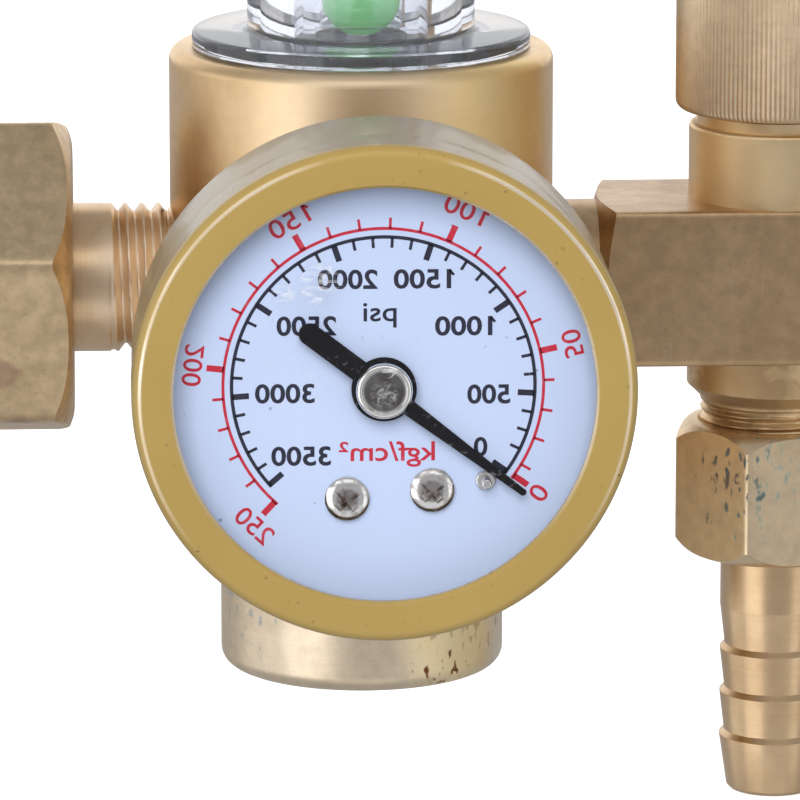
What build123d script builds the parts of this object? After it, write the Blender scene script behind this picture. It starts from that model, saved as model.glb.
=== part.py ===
from build123d import *
import os
from math import atan2, cos, degrees, pi, radians, sin, sqrt

os.makedirs("parts", exist_ok=True)

# Argon flowmeter regulator, in millimetres, with +Z up. It is drawn about the point where the inlet
# and outlet axis (X), the gauge axis (Y, dial facing -Y) and the axis of the body (Z) all cross. Each
# piece is then moved along X, so that the origin is in the middle of the inlet nut's thread.

# Clearances
screw_gap = 0.05        # radial gap of a screwed or pushed-in joint
running_gap = 0.05      # radial gap of a sliding or turning fit
seat_gap = 0.3          # gap between faces of parts that move past each other

# Body and bottom cap
body_d = 36.0
body_top = 22.0
body_bottom = -22.0
body_edge = 1.2
cap_d = 26.8
cap_bottom = -37.4
cap_edge = 1.6
cap_thread_d = 24.0
cap_thread_length = 8.0
cap_wall = 2.4
cap_floor = 4.4
gasket_thickness = 0.5

# Ports bored to the middle of the body
port_d = 4.0
arm_thread_d = 14.0
arm_socket_depth = 8.0
gauge_thread_d = 10.0
gauge_socket_depth = 7.0
spot_face_d = 15.0
spot_face_depth = 1.0
port_gap = 0.3
gallery_d = 5.4
passage_d = 2.5
riser_d = 2.0
riser_top_y = 3.6
riser_foot_y = 5.7
vent_d = 1.2

# Pressure reducing piston
nozzle_d = 7.0
nozzle_length = 4.0
nozzle_top = -3.0
nozzle_lip = 0.5
nozzle_orifice_d = 1.6
pocket_d = 12.5
pocket_length = 3.0
stem_d = 9.0
stem_tip_d = 6.0
stem_tip_length = 2.4
stem_bore_d = 2.0
pad_d = 4.4
pad_thickness = 0.9
piston_head_thickness = 5.0
piston_travel = 0.45
seal_section_d = 1.8
spring_wire_d = 1.8
spring_mean_d = 13.4
spring_turns = 4

# Inlet nipple and nut
nut_front_x = -27.1
nut_flats = 28.0
nut_corner_turn = 15.4
nut_hex_length = 16.0
nut_thread_d = 24.5
nut_thread_length = 17.0
nut_bore_clearance = 0.35
nut_runout_length = 2.5
nut_runout_depth = 1.5
nut_held_x = -53.0      # middle of the nut's thread, by which the whole part is held
nose_shoulder_d = 19.4
nose_shoulder_length = 3.0
nose_tip_d = 11.0
nose_length = 7.0
filter_d = 6.0
filter_length = 8.0

# Gauge, measured along Y towards the dial
gauge_stem_d = 13.0
gauge_stem_flats = 12.0
gauge_stem_neck_d = 11.0
gauge_stem_bore_d = 3.0
gauge_stem_block = 10.0
gauge_collar_length = 2.5
gauge_flats_length = 13.5
gauge_reach = 20.6      # from the side of the body to the back of the case
case_depth = 8.8
case_wall = 0.9
case_edge = 1.5
case_step = 0.4         # bezel over case, on the radius
rim_step = 0.5          # case over the rim that the bezel goes on
rim_wall = 0.8
bezel_d = 44.0
bezel_depth = 6.4
bezel_land = 3.64       # width of the bezel's front
bezel_lip = 0.3
bezel_bevel = 0.5
bezel_edge = 0.9
lens_step = 0.6         # case rim over the window, on the radius
lens_thickness = 0.8
lens_gasket_thickness = 1.0
lens_gasket_width = 1.35
dial_drop = 4.4         # from the front of the bezel back to the dial
dial_thickness = 0.4
pointer_lift = 1.5
hub_height = 1.0
hub_cap_d = 4.95
hub_disc_d = 5.7

# Gauge movement
gear_module = 0.3
pinion_teeth = 10
sector_teeth = 50
sector_cut_teeth = 10
pointer_zero = -37.5
pointer_sweep = 257.5
needle_length = 15.6
tail_length = 9.1
sector_tail = 3.0
sector_tail_turn = 240.0
plate_thickness = 0.6
plate_stand_off = 5.0   # from the back of the case to the face of the back plate
plate_spacing = 3.8
sector_stand_off = 1.8
tube_mean_r = 13.0
tube_radial = 1.8
tube_wall = 0.3
tube_width = 4.5
tube_stand_off = 2.9
tube_root = -75.0
tube_end = 205.0
root_block = 5.0
root_gap = 0.25
tip_block = 2.1
stop_pin_r = 12.3
stop_pin_angle = -43.4
stop_pin_d = 0.9
dial_screw_places = [(-3.3, -9.7), (4.2, -9.0)]
pillar_places = [(-4.6, 2.2), (4.6, 2.2), (3.0, -9.8)]

# Flow tube
cover_flange_d = 31.7
cover_flange_thickness = 1.6
cover_d = 21.3
cover_bore_d = 12.6
cover_top = 96.0
cover_roof = 3.0
cover_thread_d = 24.0
cover_thread_depth = 8.0
tube_d = 11.0
tube_bottom_bore_d = 7.7
tube_top_bore_d = 9.2
tube_seat_depth = 2.0
tube_recess_d = 9.6
tube_washer = 0.8
tube_top = 89.0
tube_seat_bore_d = 5.8
stop_depth = 4.0
ball_d = 7.4
ball_seat_z = 23.0

# Outlet arm and flow valve
arm_face_x = 21.9
arm_chamfer_length = 1.6
arm_face_d = 13.0
arm_depth = 17.6
arm_height = 14.8
valve_x = 39.4
valve_d = 17.0
valve_top = 14.4
valve_bottom = -11.0
neck_d = 14.0
neck_shoulder = 1.2
neck_length = 10.0
chamber_d = 9.2
chamber_floor = -2.5
valve_orifice_d = 3.0
orifice_end = -6.0
outlet_bore_d = 6.0
gland_thread_d = 12.0
gland_depth = 5.0
gland_flange_d = 15.4
gland_flange_thickness = 1.0
spindle_d = 6.0

# Knob, union nut and hose barb
knob_d = 19.6
knob_bottom = 15.7
knob_height = 16.0
knob_edge = 0.7
knurl_count = 60
knurl_depth = 0.3
union_flats = 17.0
union_corner_turn = 8.8
union_top = -13.2
union_bottom = -27.0
union_shoulder = 2.5
barb_collar_d = 10.6
barb_collar_end = -27.3
barb_d = 10.2
barb_valley_d = 9.3
barb_tip_d = 8.7
barb_bore_d = 5.0
barb_taper_start = -32.3
barb_first_step = -36.6
barb_pitch = 4.25
barb_count = 3
barb_bottom = -50.4

# Sizes that follow from the ones above
body_r = body_d / 2
case_back = body_r + gauge_reach
bezel_back = case_back + case_depth
bezel_front = bezel_back + bezel_depth
dial_face = bezel_front - dial_drop
pointer_face = dial_face + pointer_lift
hub_face = pointer_face + hub_height
case_d = bezel_d - 2 * case_step
case_rim_d = case_d - 2 * rim_step
case_bore_d = case_rim_d - 2 * rim_wall
lens_d = case_rim_d - 2 * lens_step
bezel_opening_d = bezel_d - 2 * bezel_land
back_plate_face = case_back + plate_stand_off
sector_face = back_plate_face + sector_stand_off
front_plate_face = back_plate_face + plate_spacing
tube_back = case_back + tube_stand_off
arm_end_x = valve_x + arm_depth / 2
flange_top = body_top + cover_flange_thickness
cap_top = body_bottom - gasket_thickness
cap_bore_d = cap_thread_d - 2 * cap_wall
cap_inner_floor = cap_bottom + cap_floor
spigot_top = body_bottom + cap_thread_length - seat_gap
nozzle_bottom = nozzle_top - nozzle_length
pad_top = nozzle_bottom - nozzle_lip - piston_travel - running_gap
head_bottom = cap_inner_floor + seat_gap
head_top = head_bottom + piston_head_thickness
nut_hex_back = nut_front_x - nut_hex_length
nut_end_x = nut_hex_back - nut_thread_length
shoulder_x = nut_end_x - seat_gap
nose_x = shoulder_x - nose_shoulder_length
inlet_end_x = nose_x - nose_length
valve_neck_bottom = valve_bottom - neck_shoulder - neck_length
cap_thread_top = body_bottom + cap_thread_length
lens_front = bezel_front - bezel_bevel - bezel_lip
lens_back = lens_front - lens_thickness
gasket_back = lens_back - lens_gasket_thickness
pointer_back = pointer_face - 0.3
gear_centres = gear_module * (pinion_teeth + sector_teeth) / 2


def save(piece, name):
    """Label a finished piece, move it so that the held thread's middle is the origin, and write its file."""
    placed = piece.part.moved(Location((-nut_held_x, 0, 0)))
    placed.label = name
    export_step(placed, f"parts/{name}.step")


def turned(*points, plane=Plane.XY):
    """Closed outline of straight edges through the points, ready to be revolved."""
    with BuildSketch(plane) as outline:
        with BuildLine():
            Polyline(*points, close=True)
        make_face()
    return outline.sketch


def hexagon(plane, flats, turn):
    """Hexagon across the given flats on a plane, with one corner turned from its local x axis."""
    with BuildSketch(plane) as outline:
        RegularPolygon(flats / sqrt(3), 6, rotation=turn)
    return outline.sketch


def gear_outline(plane, centre, teeth, cut_teeth, middle_angle):
    """Spur gear outline of straight-flanked teeth; cut_teeth of them stand about middle_angle."""
    pitch_r = gear_module * teeth / 2
    outer_r = pitch_r + 0.9 * gear_module
    root_r = pitch_r - 1.15 * gear_module
    step = 360 / teeth
    with BuildSketch(plane) as outline:
        with Locations(centre):
            Circle(root_r)
        for index in range(cut_teeth):
            angle = radians(middle_angle + (index - (cut_teeth - 1) / 2) * step)
            corners = []
            foot_r = root_r - 0.1
            for radius, share in ((foot_r, -0.31), (outer_r, -0.13), (outer_r, 0.13), (foot_r, 0.31)):
                side = angle + radians(share * step)
                corners.append((centre[0] + radius * cos(side), centre[1] + radius * sin(side)))
            with BuildLine():
                Polyline(*corners, close=True)
            make_face()
    return outline.sketch


def polar(radius, angle, centre=(0, 0)):
    """Point at a radius and an angle in degrees from a centre."""
    return (centre[0] + radius * cos(radians(angle)), centre[1] + radius * sin(radians(angle)))


def dial_plane(distance, turn=0):
    """Plane parallel to the dial, a distance in front of the body axis, with its x axis turned up from X."""
    x_axis = (cos(radians(turn)), 0, sin(radians(turn)))
    return Plane(origin=(0, -distance, 0), x_dir=x_axis, z_dir=(0, -1, 0))


def bar(plane, start, end, width, thickness):
    """Flat bar with round ends between two points of a plane, as thick as given along its normal."""
    run = Vector(*end) - Vector(*start)
    middle = ((start[0] + end[0]) / 2, (start[1] + end[1]) / 2)
    with BuildPart() as piece:
        with BuildSketch(plane):
            with Locations(middle):
                SlotCenterToCenter(run.length, width, rotation=degrees(atan2(run.Y, run.X)))
        extrude(amount=thickness)
    return piece.part


def ring(inner_d, outer_d, low, high):
    """Flat ring about Z between two heights."""
    with BuildPart() as piece:
        with BuildSketch(Plane.XY.offset(low)):
            Circle(outer_d / 2)
            Circle(inner_d / 2, mode=Mode.SUBTRACT)
        extrude(amount=high - low)
    return piece.part


# Body: a turned brass block with a screwed socket on each side
cover_floor = body_top - cover_thread_depth
tube_floor = cover_floor - tube_seat_depth
drop_x = tube_d / 2 + passage_d
with BuildPart() as body:
    with BuildSketch(Plane.XY.offset(body_bottom)):
        Circle(body_r)
    extrude(amount=body_top - body_bottom)
    fillet(body.edges().group_by(Axis.Z)[-1], body_edge)
    chamfer(body.edges().group_by(Axis.Z)[0], body_edge / 2)
    # Inlet socket on the left, with the high pressure port behind it
    with Locations(Plane(origin=(-body_r, 0, 0), z_dir=(-1, 0, 0))):
        CounterBoreHole(port_d / 2, arm_thread_d / 2 + screw_gap, arm_socket_depth, depth=body_r)
    # Gauge socket in a flat spot face at the front
    with Locations(Plane(origin=(0, -body_r, 0), z_dir=(0, -1, 0))):
        Hole(spot_face_d / 2, depth=spot_face_depth)
        Hole(gauge_thread_d / 2 + screw_gap, depth=spot_face_depth + gauge_socket_depth)
        Hole(port_d / 2, depth=body_r)
    # Outlet socket on the right, fed by a drop from the flow tube
    with Locations(Plane(origin=(body_r, 0, 0), z_dir=(1, 0, 0))):
        CounterBoreHole(port_d / 2, arm_thread_d / 2 + screw_gap, arm_socket_depth,
                        depth=body_r - drop_x + passage_d)
    # Top: thread of the clear cover, seat of the metering tube and a recess under it
    revolve(turned((0, body_top + 1), (cover_thread_d / 2 + screw_gap, body_top + 1),
                   (cover_thread_d / 2 + screw_gap, cover_floor), (tube_d / 2 + screw_gap, cover_floor),
                   (tube_d / 2 + screw_gap, tube_floor), (tube_recess_d / 2, tube_floor),
                   (tube_recess_d / 2, tube_floor - 1), (0, tube_floor - 1), plane=Plane.XZ),
            axis=Axis.Z, mode=Mode.SUBTRACT)
    with Locations((drop_x, 0, cover_floor)):
        Hole(passage_d / 2, depth=cover_floor)
    # Bottom: gallery where the ports meet, nozzle thread, low pressure pocket, stem bore and cap thread
    revolve(turned((0, gallery_d / 2), (gallery_d / 2, gallery_d / 2), (gallery_d / 2, nozzle_top),
                   (nozzle_d / 2 + screw_gap, nozzle_top), (nozzle_d / 2 + screw_gap, nozzle_bottom),
                   (pocket_d / 2, nozzle_bottom), (pocket_d / 2, nozzle_bottom - pocket_length),
                   (stem_d / 2, nozzle_bottom - pocket_length), (stem_d / 2, cap_thread_top),
                   (cap_thread_d / 2 + screw_gap, cap_thread_top),
                   (cap_thread_d / 2 + screw_gap, body_bottom - 1), (0, body_bottom - 1), plane=Plane.XZ),
            axis=Axis.Z, mode=Mode.SUBTRACT)
    # Riser from the low pressure pocket up to the recess under the metering tube, drilled at a slant
    riser_top = Vector(0, riser_top_y, tube_floor - 1)
    riser_run = riser_top - Vector(0, riser_foot_y, nozzle_bottom - pocket_length / 2)
    with Locations(Plane(origin=riser_top, z_dir=riser_run)):
        Hole(riser_d / 2, depth=riser_run.length)
    # Vent of the spring chamber, at the back
    with Locations(Plane(origin=(0, body_r, cap_thread_top - vent_d / 4), z_dir=(0, 1, 0))):
        Hole(vent_d / 2, depth=body_r - cap_thread_d / 2 + 1)
save(body, "body")

# Bottom cap: closed cup that screws into the body and holds the piston and its spring
with BuildPart() as bottom_cap:
    revolve(turned((0, cap_bottom), (cap_d / 2, cap_bottom), (cap_d / 2, cap_top),
                   (cap_thread_d / 2, cap_top), (cap_thread_d / 2, spigot_top),
                   (cap_bore_d / 2, spigot_top), (cap_bore_d / 2, cap_inner_floor), (0, cap_inner_floor),
                   plane=Plane.XZ), axis=Axis.Z)
    fillet(bottom_cap.edges().group_by(Axis.Z)[0], cap_edge)
save(bottom_cap, "bottom_cap")

# Fibre gasket between the cap's shoulder and the body
with BuildPart() as cap_gasket:
    add(ring(cap_thread_d + 2 * screw_gap, cap_d - 2 * screw_gap, cap_top, body_bottom))
save(cap_gasket, "cap_gasket")

# Nozzle: screwed up into the body, with a raised lip round its orifice
with BuildPart() as seat_nozzle:
    revolve(turned((nozzle_orifice_d / 2, nozzle_top), (nozzle_d / 2, nozzle_top),
                   (nozzle_d / 2, nozzle_bottom), (nozzle_orifice_d, nozzle_bottom),
                   (nozzle_orifice_d / 2 + 0.3, nozzle_bottom - nozzle_lip),
                   (nozzle_orifice_d / 2, nozzle_bottom - nozzle_lip), plane=Plane.XZ), axis=Axis.Z)
save(seat_nozzle, "seat_nozzle")

# Piston: outlet pressure under its head pushes the pad in its tip against the nozzle
head_r = cap_bore_d / 2 - running_gap
stem_r = stem_d / 2 - running_gap
head_groove = (head_bottom + head_top) / 2
stem_groove = cap_thread_top + seal_section_d
stem_shoulder = pad_top - stem_tip_length
groove_half = seal_section_d / 2 + 0.2
groove_depth = seal_section_d + running_gap
with BuildPart() as piston:
    revolve(turned((0, head_bottom), (head_r, head_bottom), (head_r, head_groove - groove_half),
                   (head_r - groove_depth, head_groove - groove_half),
                   (head_r - groove_depth, head_groove + groove_half), (head_r, head_groove + groove_half),
                   (head_r, head_top), (stem_r, head_top), (stem_r, stem_groove - groove_half),
                   (stem_r - groove_depth, stem_groove - groove_half),
                   (stem_r - groove_depth, stem_groove + groove_half), (stem_r, stem_groove + groove_half),
                   (stem_r, stem_shoulder), (stem_tip_d / 2, stem_shoulder), (stem_tip_d / 2, pad_top),
                   (pad_d / 2 + screw_gap, pad_top), (pad_d / 2 + screw_gap, pad_top - pad_thickness),
                   (0, pad_top - pad_thickness), plane=Plane.XZ), axis=Axis.Z)
    # Drilling that carries the outlet pressure to the underside of the head
    cross_z = stem_shoulder + stem_bore_d / 4
    with Locations(Plane(origin=(0, 0, head_bottom), z_dir=(0, 0, -1))):
        Hole(stem_bore_d / 2, depth=cross_z - head_bottom)
    with Locations(Plane(origin=(0, stem_r, cross_z), z_dir=(0, 1, 0))):
        Hole(stem_bore_d / 4, depth=2 * stem_r)
save(piston, "piston")

# Soft pad in the tip of the piston
with BuildPart() as seat_pad:
    with BuildSketch(Plane.XY.offset(pad_top - pad_thickness)):
        Circle(pad_d / 2)
    extrude(amount=pad_thickness)
save(seat_pad, "seat_pad")

# O-rings of the piston: one on its head, one on its stem
with BuildPart() as piston_seal:
    with BuildSketch(Plane.XZ):
        with Locations((head_r - seal_section_d / 2 + running_gap / 2, head_groove)):
            Circle(seal_section_d / 2 - running_gap / 2)
    revolve(axis=Axis.Z)
save(piston_seal, "piston_seal")

with BuildPart() as stem_seal:
    with BuildSketch(Plane.XZ):
        with Locations((stem_r - seal_section_d / 2 + running_gap / 2, stem_groove)):
            Circle(seal_section_d / 2 - running_gap / 2)
    revolve(axis=Axis.Z)
save(stem_seal, "stem_seal")

# Regulating spring: coiled round the stem between the body and the piston head
spring_low = head_top + spring_wire_d / 2 + running_gap
spring_high = cap_thread_top - spring_wire_d / 2 - running_gap
with BuildPart() as regulating_spring:
    with BuildLine() as coil:
        Helix((spring_high - spring_low) / spring_turns, spring_high - spring_low, spring_mean_d / 2,
              center=(0, 0, spring_low))
    with BuildSketch(Plane(origin=coil.line @ 0, z_dir=coil.line % 0)):
        Circle(spring_wire_d / 2)
    sweep(is_frenet=True)
save(regulating_spring, "regulating_spring")

# Inlet nipple: screwed into the body, with a round nose that seals in the cylinder valve
shank_r = arm_thread_d / 2
nipple_inner_x = -(body_r - arm_socket_depth) - port_gap
with BuildPart() as inlet_nipple:
    with BuildSketch(Plane.XY):
        with BuildLine():
            Polyline((nipple_inner_x, 0), (nipple_inner_x, shank_r), (shoulder_x, shank_r),
                     (shoulder_x, nose_shoulder_d / 2), (nose_x, nose_shoulder_d / 2))
            nose_start = (nose_x, nose_shoulder_d / 2)
            nose = RadiusArc(nose_start, (inlet_end_x, nose_tip_d / 2), -nose_shoulder_d / 2)
            Polyline(nose @ 1, (inlet_end_x, 0), (nipple_inner_x, 0))
        make_face()
    revolve(axis=Axis.X)
    with Locations(Plane(origin=(inlet_end_x, 0, 0), z_dir=(-1, 0, 0))):
        CounterBoreHole(port_d / 2, filter_d / 2, filter_length + port_gap,
                        depth=nipple_inner_x - inlet_end_x)
save(inlet_nipple, "inlet_nipple")

# Sintered filter pushed into the mouth of the nipple
with BuildPart() as inlet_filter:
    with BuildSketch(Plane.YZ.offset(inlet_end_x + port_gap)):
        Circle(filter_d / 2 - screw_gap)
    extrude(amount=filter_length)
save(inlet_filter, "inlet_filter")

# Inlet nut: loose on the nipple, hexagon towards the body and its thread towards the cylinder
nut_corner_r = nut_flats / sqrt(3)
nut_face_r = nut_flats / 2 - 0.4
nut_slope = (nut_corner_r - nut_face_r) * 0.55
nut_bore_r = shank_r + nut_bore_clearance
front_face = Plane(origin=(nut_front_x, 0, 0), x_dir=(0, -1, 0), z_dir=(-1, 0, 0))
with BuildPart() as inlet_nut:
    extrude(hexagon(front_face, nut_flats, nut_corner_turn), amount=nut_hex_length)
    revolve(turned((nut_front_x, 0), (nut_front_x, nut_face_r), (nut_front_x - nut_slope, nut_corner_r),
                   (nut_hex_back + nut_slope, nut_corner_r), (nut_hex_back, nut_face_r), (nut_hex_back, 0)),
            axis=Axis.X, mode=Mode.INTERSECT)
    thread_r = nut_thread_d / 2
    revolve(turned((nut_hex_back, 0), (nut_hex_back, thread_r - nut_runout_depth),
                   (nut_hex_back - nut_runout_length, thread_r - nut_runout_depth),
                   (nut_hex_back - nut_runout_length - 1, thread_r), (nut_end_x + 1.5, thread_r),
                   (nut_end_x, thread_r - 1.5), (nut_end_x, 0)), axis=Axis.X)
    revolve(turned((nut_end_x, 0), (nut_end_x, nut_bore_r), (nut_front_x, nut_bore_r), (nut_front_x, 0)),
            axis=Axis.X, mode=Mode.SUBTRACT)
save(inlet_nut, "inlet_nut")

# Gauge washer: copper ring squeezed between the spot face and the gauge stem
with BuildPart() as gauge_washer:
    with BuildSketch(dial_plane(body_r - spot_face_depth)):
        Circle(spot_face_d / 2 - port_gap)
        Circle(gauge_thread_d / 2 + port_gap, mode=Mode.SUBTRACT)
    extrude(amount=spot_face_depth)
save(gauge_washer, "gauge_washer")

# Gauge stem: thread, collar, square for the spanner, then a block inside the case for the tube
stem_inner = body_r - spot_face_depth - gauge_socket_depth + port_gap
case_inner = case_back + case_wall
plate_back = back_plate_face - plate_thickness
stem_neck_r = gauge_stem_neck_d / 2
with BuildPart() as gauge_stem:
    revolve(turned((0, -stem_inner), (gauge_thread_d / 2, -stem_inner), (gauge_thread_d / 2, -body_r),
                   (gauge_stem_d / 2, -body_r), (gauge_stem_d / 2, -body_r - gauge_collar_length),
                   (stem_neck_r, -body_r - gauge_collar_length), (stem_neck_r, -case_inner),
                   (0, -case_inner)), axis=Axis.Y)
    with BuildSketch(dial_plane(body_r + gauge_collar_length)):
        Rectangle(gauge_stem_flats, gauge_stem_flats)
    extrude(amount=gauge_flats_length)
    chamfer(gauge_stem.edges().filter_by(Axis.Y), 0.6)
    with BuildSketch(dial_plane(case_inner)):
        Rectangle(gauge_stem_block, gauge_stem_block)
    extrude(amount=plate_back - case_inner)
    with BuildSketch(dial_plane(case_inner)):
        with Locations(polar(tube_mean_r / 2, tube_root)):
            Rectangle(tube_mean_r, root_block, rotation=tube_root)
    extrude(amount=tube_back - case_inner - screw_gap)
    with BuildSketch(dial_plane(case_inner)):
        with Locations(polar(tube_mean_r, tube_root)):
            Rectangle(tube_radial + 2 * tube_wall, root_block, rotation=tube_root)
    extrude(amount=tube_back + tube_width - case_inner)
    with Locations(Plane(origin=(0, -stem_inner, 0), z_dir=(0, 1, 0))):
        Hole(gauge_stem_bore_d / 2, depth=plate_back - stem_inner - 1)
save(gauge_stem, "gauge_stem")

# Gauge case: a drawn cup with a round back edge and a step for the bezel
with BuildPart() as gauge_case:
    with BuildSketch(Plane.XY):
        with BuildLine():
            back = Polyline((stem_neck_r + screw_gap, -case_inner), (stem_neck_r + screw_gap, -case_back),
                            (case_d / 2 - case_edge, -case_back))
            edge = TangentArc(back @ 1, (case_d / 2, -case_back - case_edge), tangent=(1, 0))
            Polyline(edge @ 1, (case_d / 2, -bezel_back), (case_rim_d / 2, -bezel_back),
                     (case_rim_d / 2, -gasket_back), (case_bore_d / 2, -gasket_back),
                     (case_bore_d / 2, -case_inner), back @ 0)
        make_face()
    revolve(axis=Axis.Y)
save(gauge_case, "gauge_case")

# Bezel: a wide ring with a rounded outer corner, screwed over the case to hold the window
with BuildPart() as gauge_bezel:
    with BuildSketch(Plane.XY):
        with BuildLine():
            side = Polyline((case_rim_d / 2 + screw_gap, -bezel_back), (bezel_d / 2, -bezel_back),
                            (bezel_d / 2, -bezel_front + bezel_edge))
            corner = TangentArc(side @ 1, (bezel_d / 2 - bezel_edge, -bezel_front), tangent=(0, -1))
            Polyline(corner @ 1, (bezel_opening_d / 2 + bezel_bevel, -bezel_front),
                     (bezel_opening_d / 2, -bezel_front + bezel_bevel),
                     (bezel_opening_d / 2, -lens_front), (lens_d / 2 + screw_gap, -lens_front),
                     (lens_d / 2 + screw_gap, -gasket_back),
                     (case_rim_d / 2 + screw_gap, -gasket_back), side @ 0)
        make_face()
    revolve(axis=Axis.Y)
save(gauge_bezel, "gauge_bezel")

# Window and the rubber ring behind it
with BuildPart() as gauge_lens:
    with BuildSketch(dial_plane(lens_back)):
        Circle(lens_d / 2)
    extrude(amount=lens_thickness)
save(gauge_lens, "gauge_lens")

with BuildPart() as lens_gasket:
    with BuildSketch(dial_plane(gasket_back)):
        Circle(lens_d / 2 - screw_gap)
        Circle(lens_d / 2 - screw_gap - lens_gasket_width, mode=Mode.SUBTRACT)
    extrude(amount=lens_gasket_thickness)
save(lens_gasket, "lens_gasket")

# Dial plate, held by two screws into the bosses of the front movement plate
arbor_r = 0.3
screw_hole_r = 0.65
with BuildPart() as gauge_dial:
    with BuildSketch(dial_plane(dial_face - dial_thickness)):
        Circle(case_bore_d / 2 - 2 * screw_gap)
        Circle(4 * arbor_r, mode=Mode.SUBTRACT)
        with Locations(*dial_screw_places, polar(stop_pin_r, stop_pin_angle)):
            Circle(screw_hole_r, mode=Mode.SUBTRACT)
    extrude(amount=dial_thickness)
save(gauge_dial, "gauge_dial")

# Two pan head screws with cross recesses
screw_head_d = 3.6
screw_head_height = 1.0
with BuildPart() as dial_screws:
    with BuildSketch(dial_plane(dial_face)):
        with Locations(*dial_screw_places):
            Circle(screw_head_d / 2)
    extrude(amount=screw_head_height)
    fillet(dial_screws.edges().group_by(Axis.Y)[0], 0.45)
    with BuildSketch(dial_plane(front_plate_face - plate_thickness)):
        with Locations(*dial_screw_places):
            Circle(screw_hole_r - screw_gap)
    extrude(amount=dial_face - front_plate_face + plate_thickness)
    with BuildSketch(dial_plane(dial_face + screw_head_height)):
        with Locations(*dial_screw_places):
            Rectangle(2.0, 0.4, rotation=40)
            Rectangle(0.4, 2.0, rotation=40)
    extrude(amount=-0.5, mode=Mode.SUBTRACT)
save(dial_screws, "dial_screws")

# Stop pin with a small collar, just below the first mark of the scale
with BuildPart() as stop_pin:
    with BuildSketch(dial_plane(dial_face)):
        with Locations(polar(stop_pin_r, stop_pin_angle)):
            Circle(stop_pin_d)
    extrude(amount=0.5)
    with BuildSketch(dial_plane(dial_face - dial_thickness)):
        with Locations(polar(stop_pin_r, stop_pin_angle)):
            Circle(stop_pin_d / 2)
    extrude(amount=pointer_face - dial_face + dial_thickness + 0.5)
save(stop_pin, "stop_pin")

# Pointer: a stamped needle that tapers to its tip, with a round tail and a disc under the hub
hub_bush_r = 0.88
with BuildPart() as pointer:
    with BuildSketch(dial_plane(pointer_back, pointer_zero)):
        Circle(hub_disc_d / 2)
        tip_half, root_half, tail_half = 0.28, 0.75, 0.95
        with BuildLine():
            Polyline((0, -root_half), (needle_length - tip_half, -tip_half), (needle_length, 0),
                     (needle_length - tip_half, tip_half), (0, root_half), (0, -root_half))
        make_face()
        with Locations((-(tail_length - tail_half) / 2, 0)):
            Rectangle(tail_length - tail_half, 2 * tail_half)
        with Locations((-(tail_length - tail_half), 0)):
            Circle(tail_half)
        Circle(hub_bush_r + 0.01, mode=Mode.SUBTRACT)
    extrude(amount=pointer_face - pointer_back)
save(pointer, "pointer")

# Hub: a bright cap on a bush that is pressed on the pinion's arbor
hub_rim = 0.35
with BuildPart() as pointer_hub:
    revolve(turned((arbor_r + 0.02, -pointer_back + 0.8), (hub_bush_r, -pointer_back + 0.8),
                   (hub_bush_r, -pointer_face), (hub_cap_d / 2, -pointer_face),
                   (hub_cap_d / 2, -hub_face + hub_rim), (hub_cap_d / 2 - hub_rim, -hub_face),
                   (0, -hub_face), (0, -hub_face + 0.5), (arbor_r + 0.02, -hub_face + 0.5)), axis=Axis.Y)
save(pointer_hub, "pointer_hub")

# Pinion and sector: at rest one tooth of the sector stands in the lowest gap of the pinion
sector_pivot = (0, -gear_centres)
sector_back = sector_face - plate_thickness
gear_play = 0.1
sector_step = 360 / sector_teeth
sector_middle = 90 + round(pointer_sweep * pinion_teeth / sector_teeth / 2 / sector_step) * sector_step
sector_middle = sector_middle - sector_step / 2
with BuildPart() as pinion:
    extrude(gear_outline(dial_plane(sector_back - 0.2), (0, 0), pinion_teeth, pinion_teeth, 270),
            amount=plate_thickness + 0.4)
    with BuildSketch(dial_plane(plate_back + gear_play)):
        Circle(arbor_r)
    extrude(amount=hub_face - 0.6 - plate_back - gear_play)
save(pinion, "pinion")

sector_arbor_r = 0.4
wedge_half = (sector_cut_teeth + 0.4) * sector_step / 2
wedge_r = 2 * gear_centres
with BuildPart() as sector_gear:
    extrude(gear_outline(dial_plane(sector_back), sector_pivot, sector_teeth, sector_cut_teeth,
                         sector_middle), amount=plate_thickness)
    with BuildSketch(dial_plane(sector_back)):
        with BuildLine():
            Polyline(sector_pivot, polar(wedge_r, sector_middle - wedge_half, sector_pivot),
                     polar(wedge_r, sector_middle + wedge_half, sector_pivot), close=True)
        make_face()
    extrude(amount=plate_thickness, mode=Mode.INTERSECT)
    with BuildSketch(dial_plane(sector_back)):
        with Locations(polar(gear_centres * 0.52, sector_middle, sector_pivot)):
            Circle(gear_centres * 0.16)
    extrude(amount=plate_thickness, mode=Mode.SUBTRACT)
    tail_end = polar(sector_tail, sector_tail_turn, sector_pivot)
    add(bar(dial_plane(sector_back), sector_pivot, tail_end, 1.6, plate_thickness))
    with BuildSketch(dial_plane(sector_back)):
        with Locations(sector_pivot):
            Circle(1.3)
    extrude(amount=plate_thickness)
    with BuildSketch(dial_plane(sector_back)):
        with Locations(tail_end):
            Circle(sector_arbor_r)
    extrude(amount=plate_thickness + 0.7)
    with BuildSketch(dial_plane(plate_back + gear_play)):
        with Locations(sector_pivot):
            Circle(sector_arbor_r)
    extrude(amount=front_plate_face - plate_back - 2 * gear_play)
save(sector_gear, "sector_gear")

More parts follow.
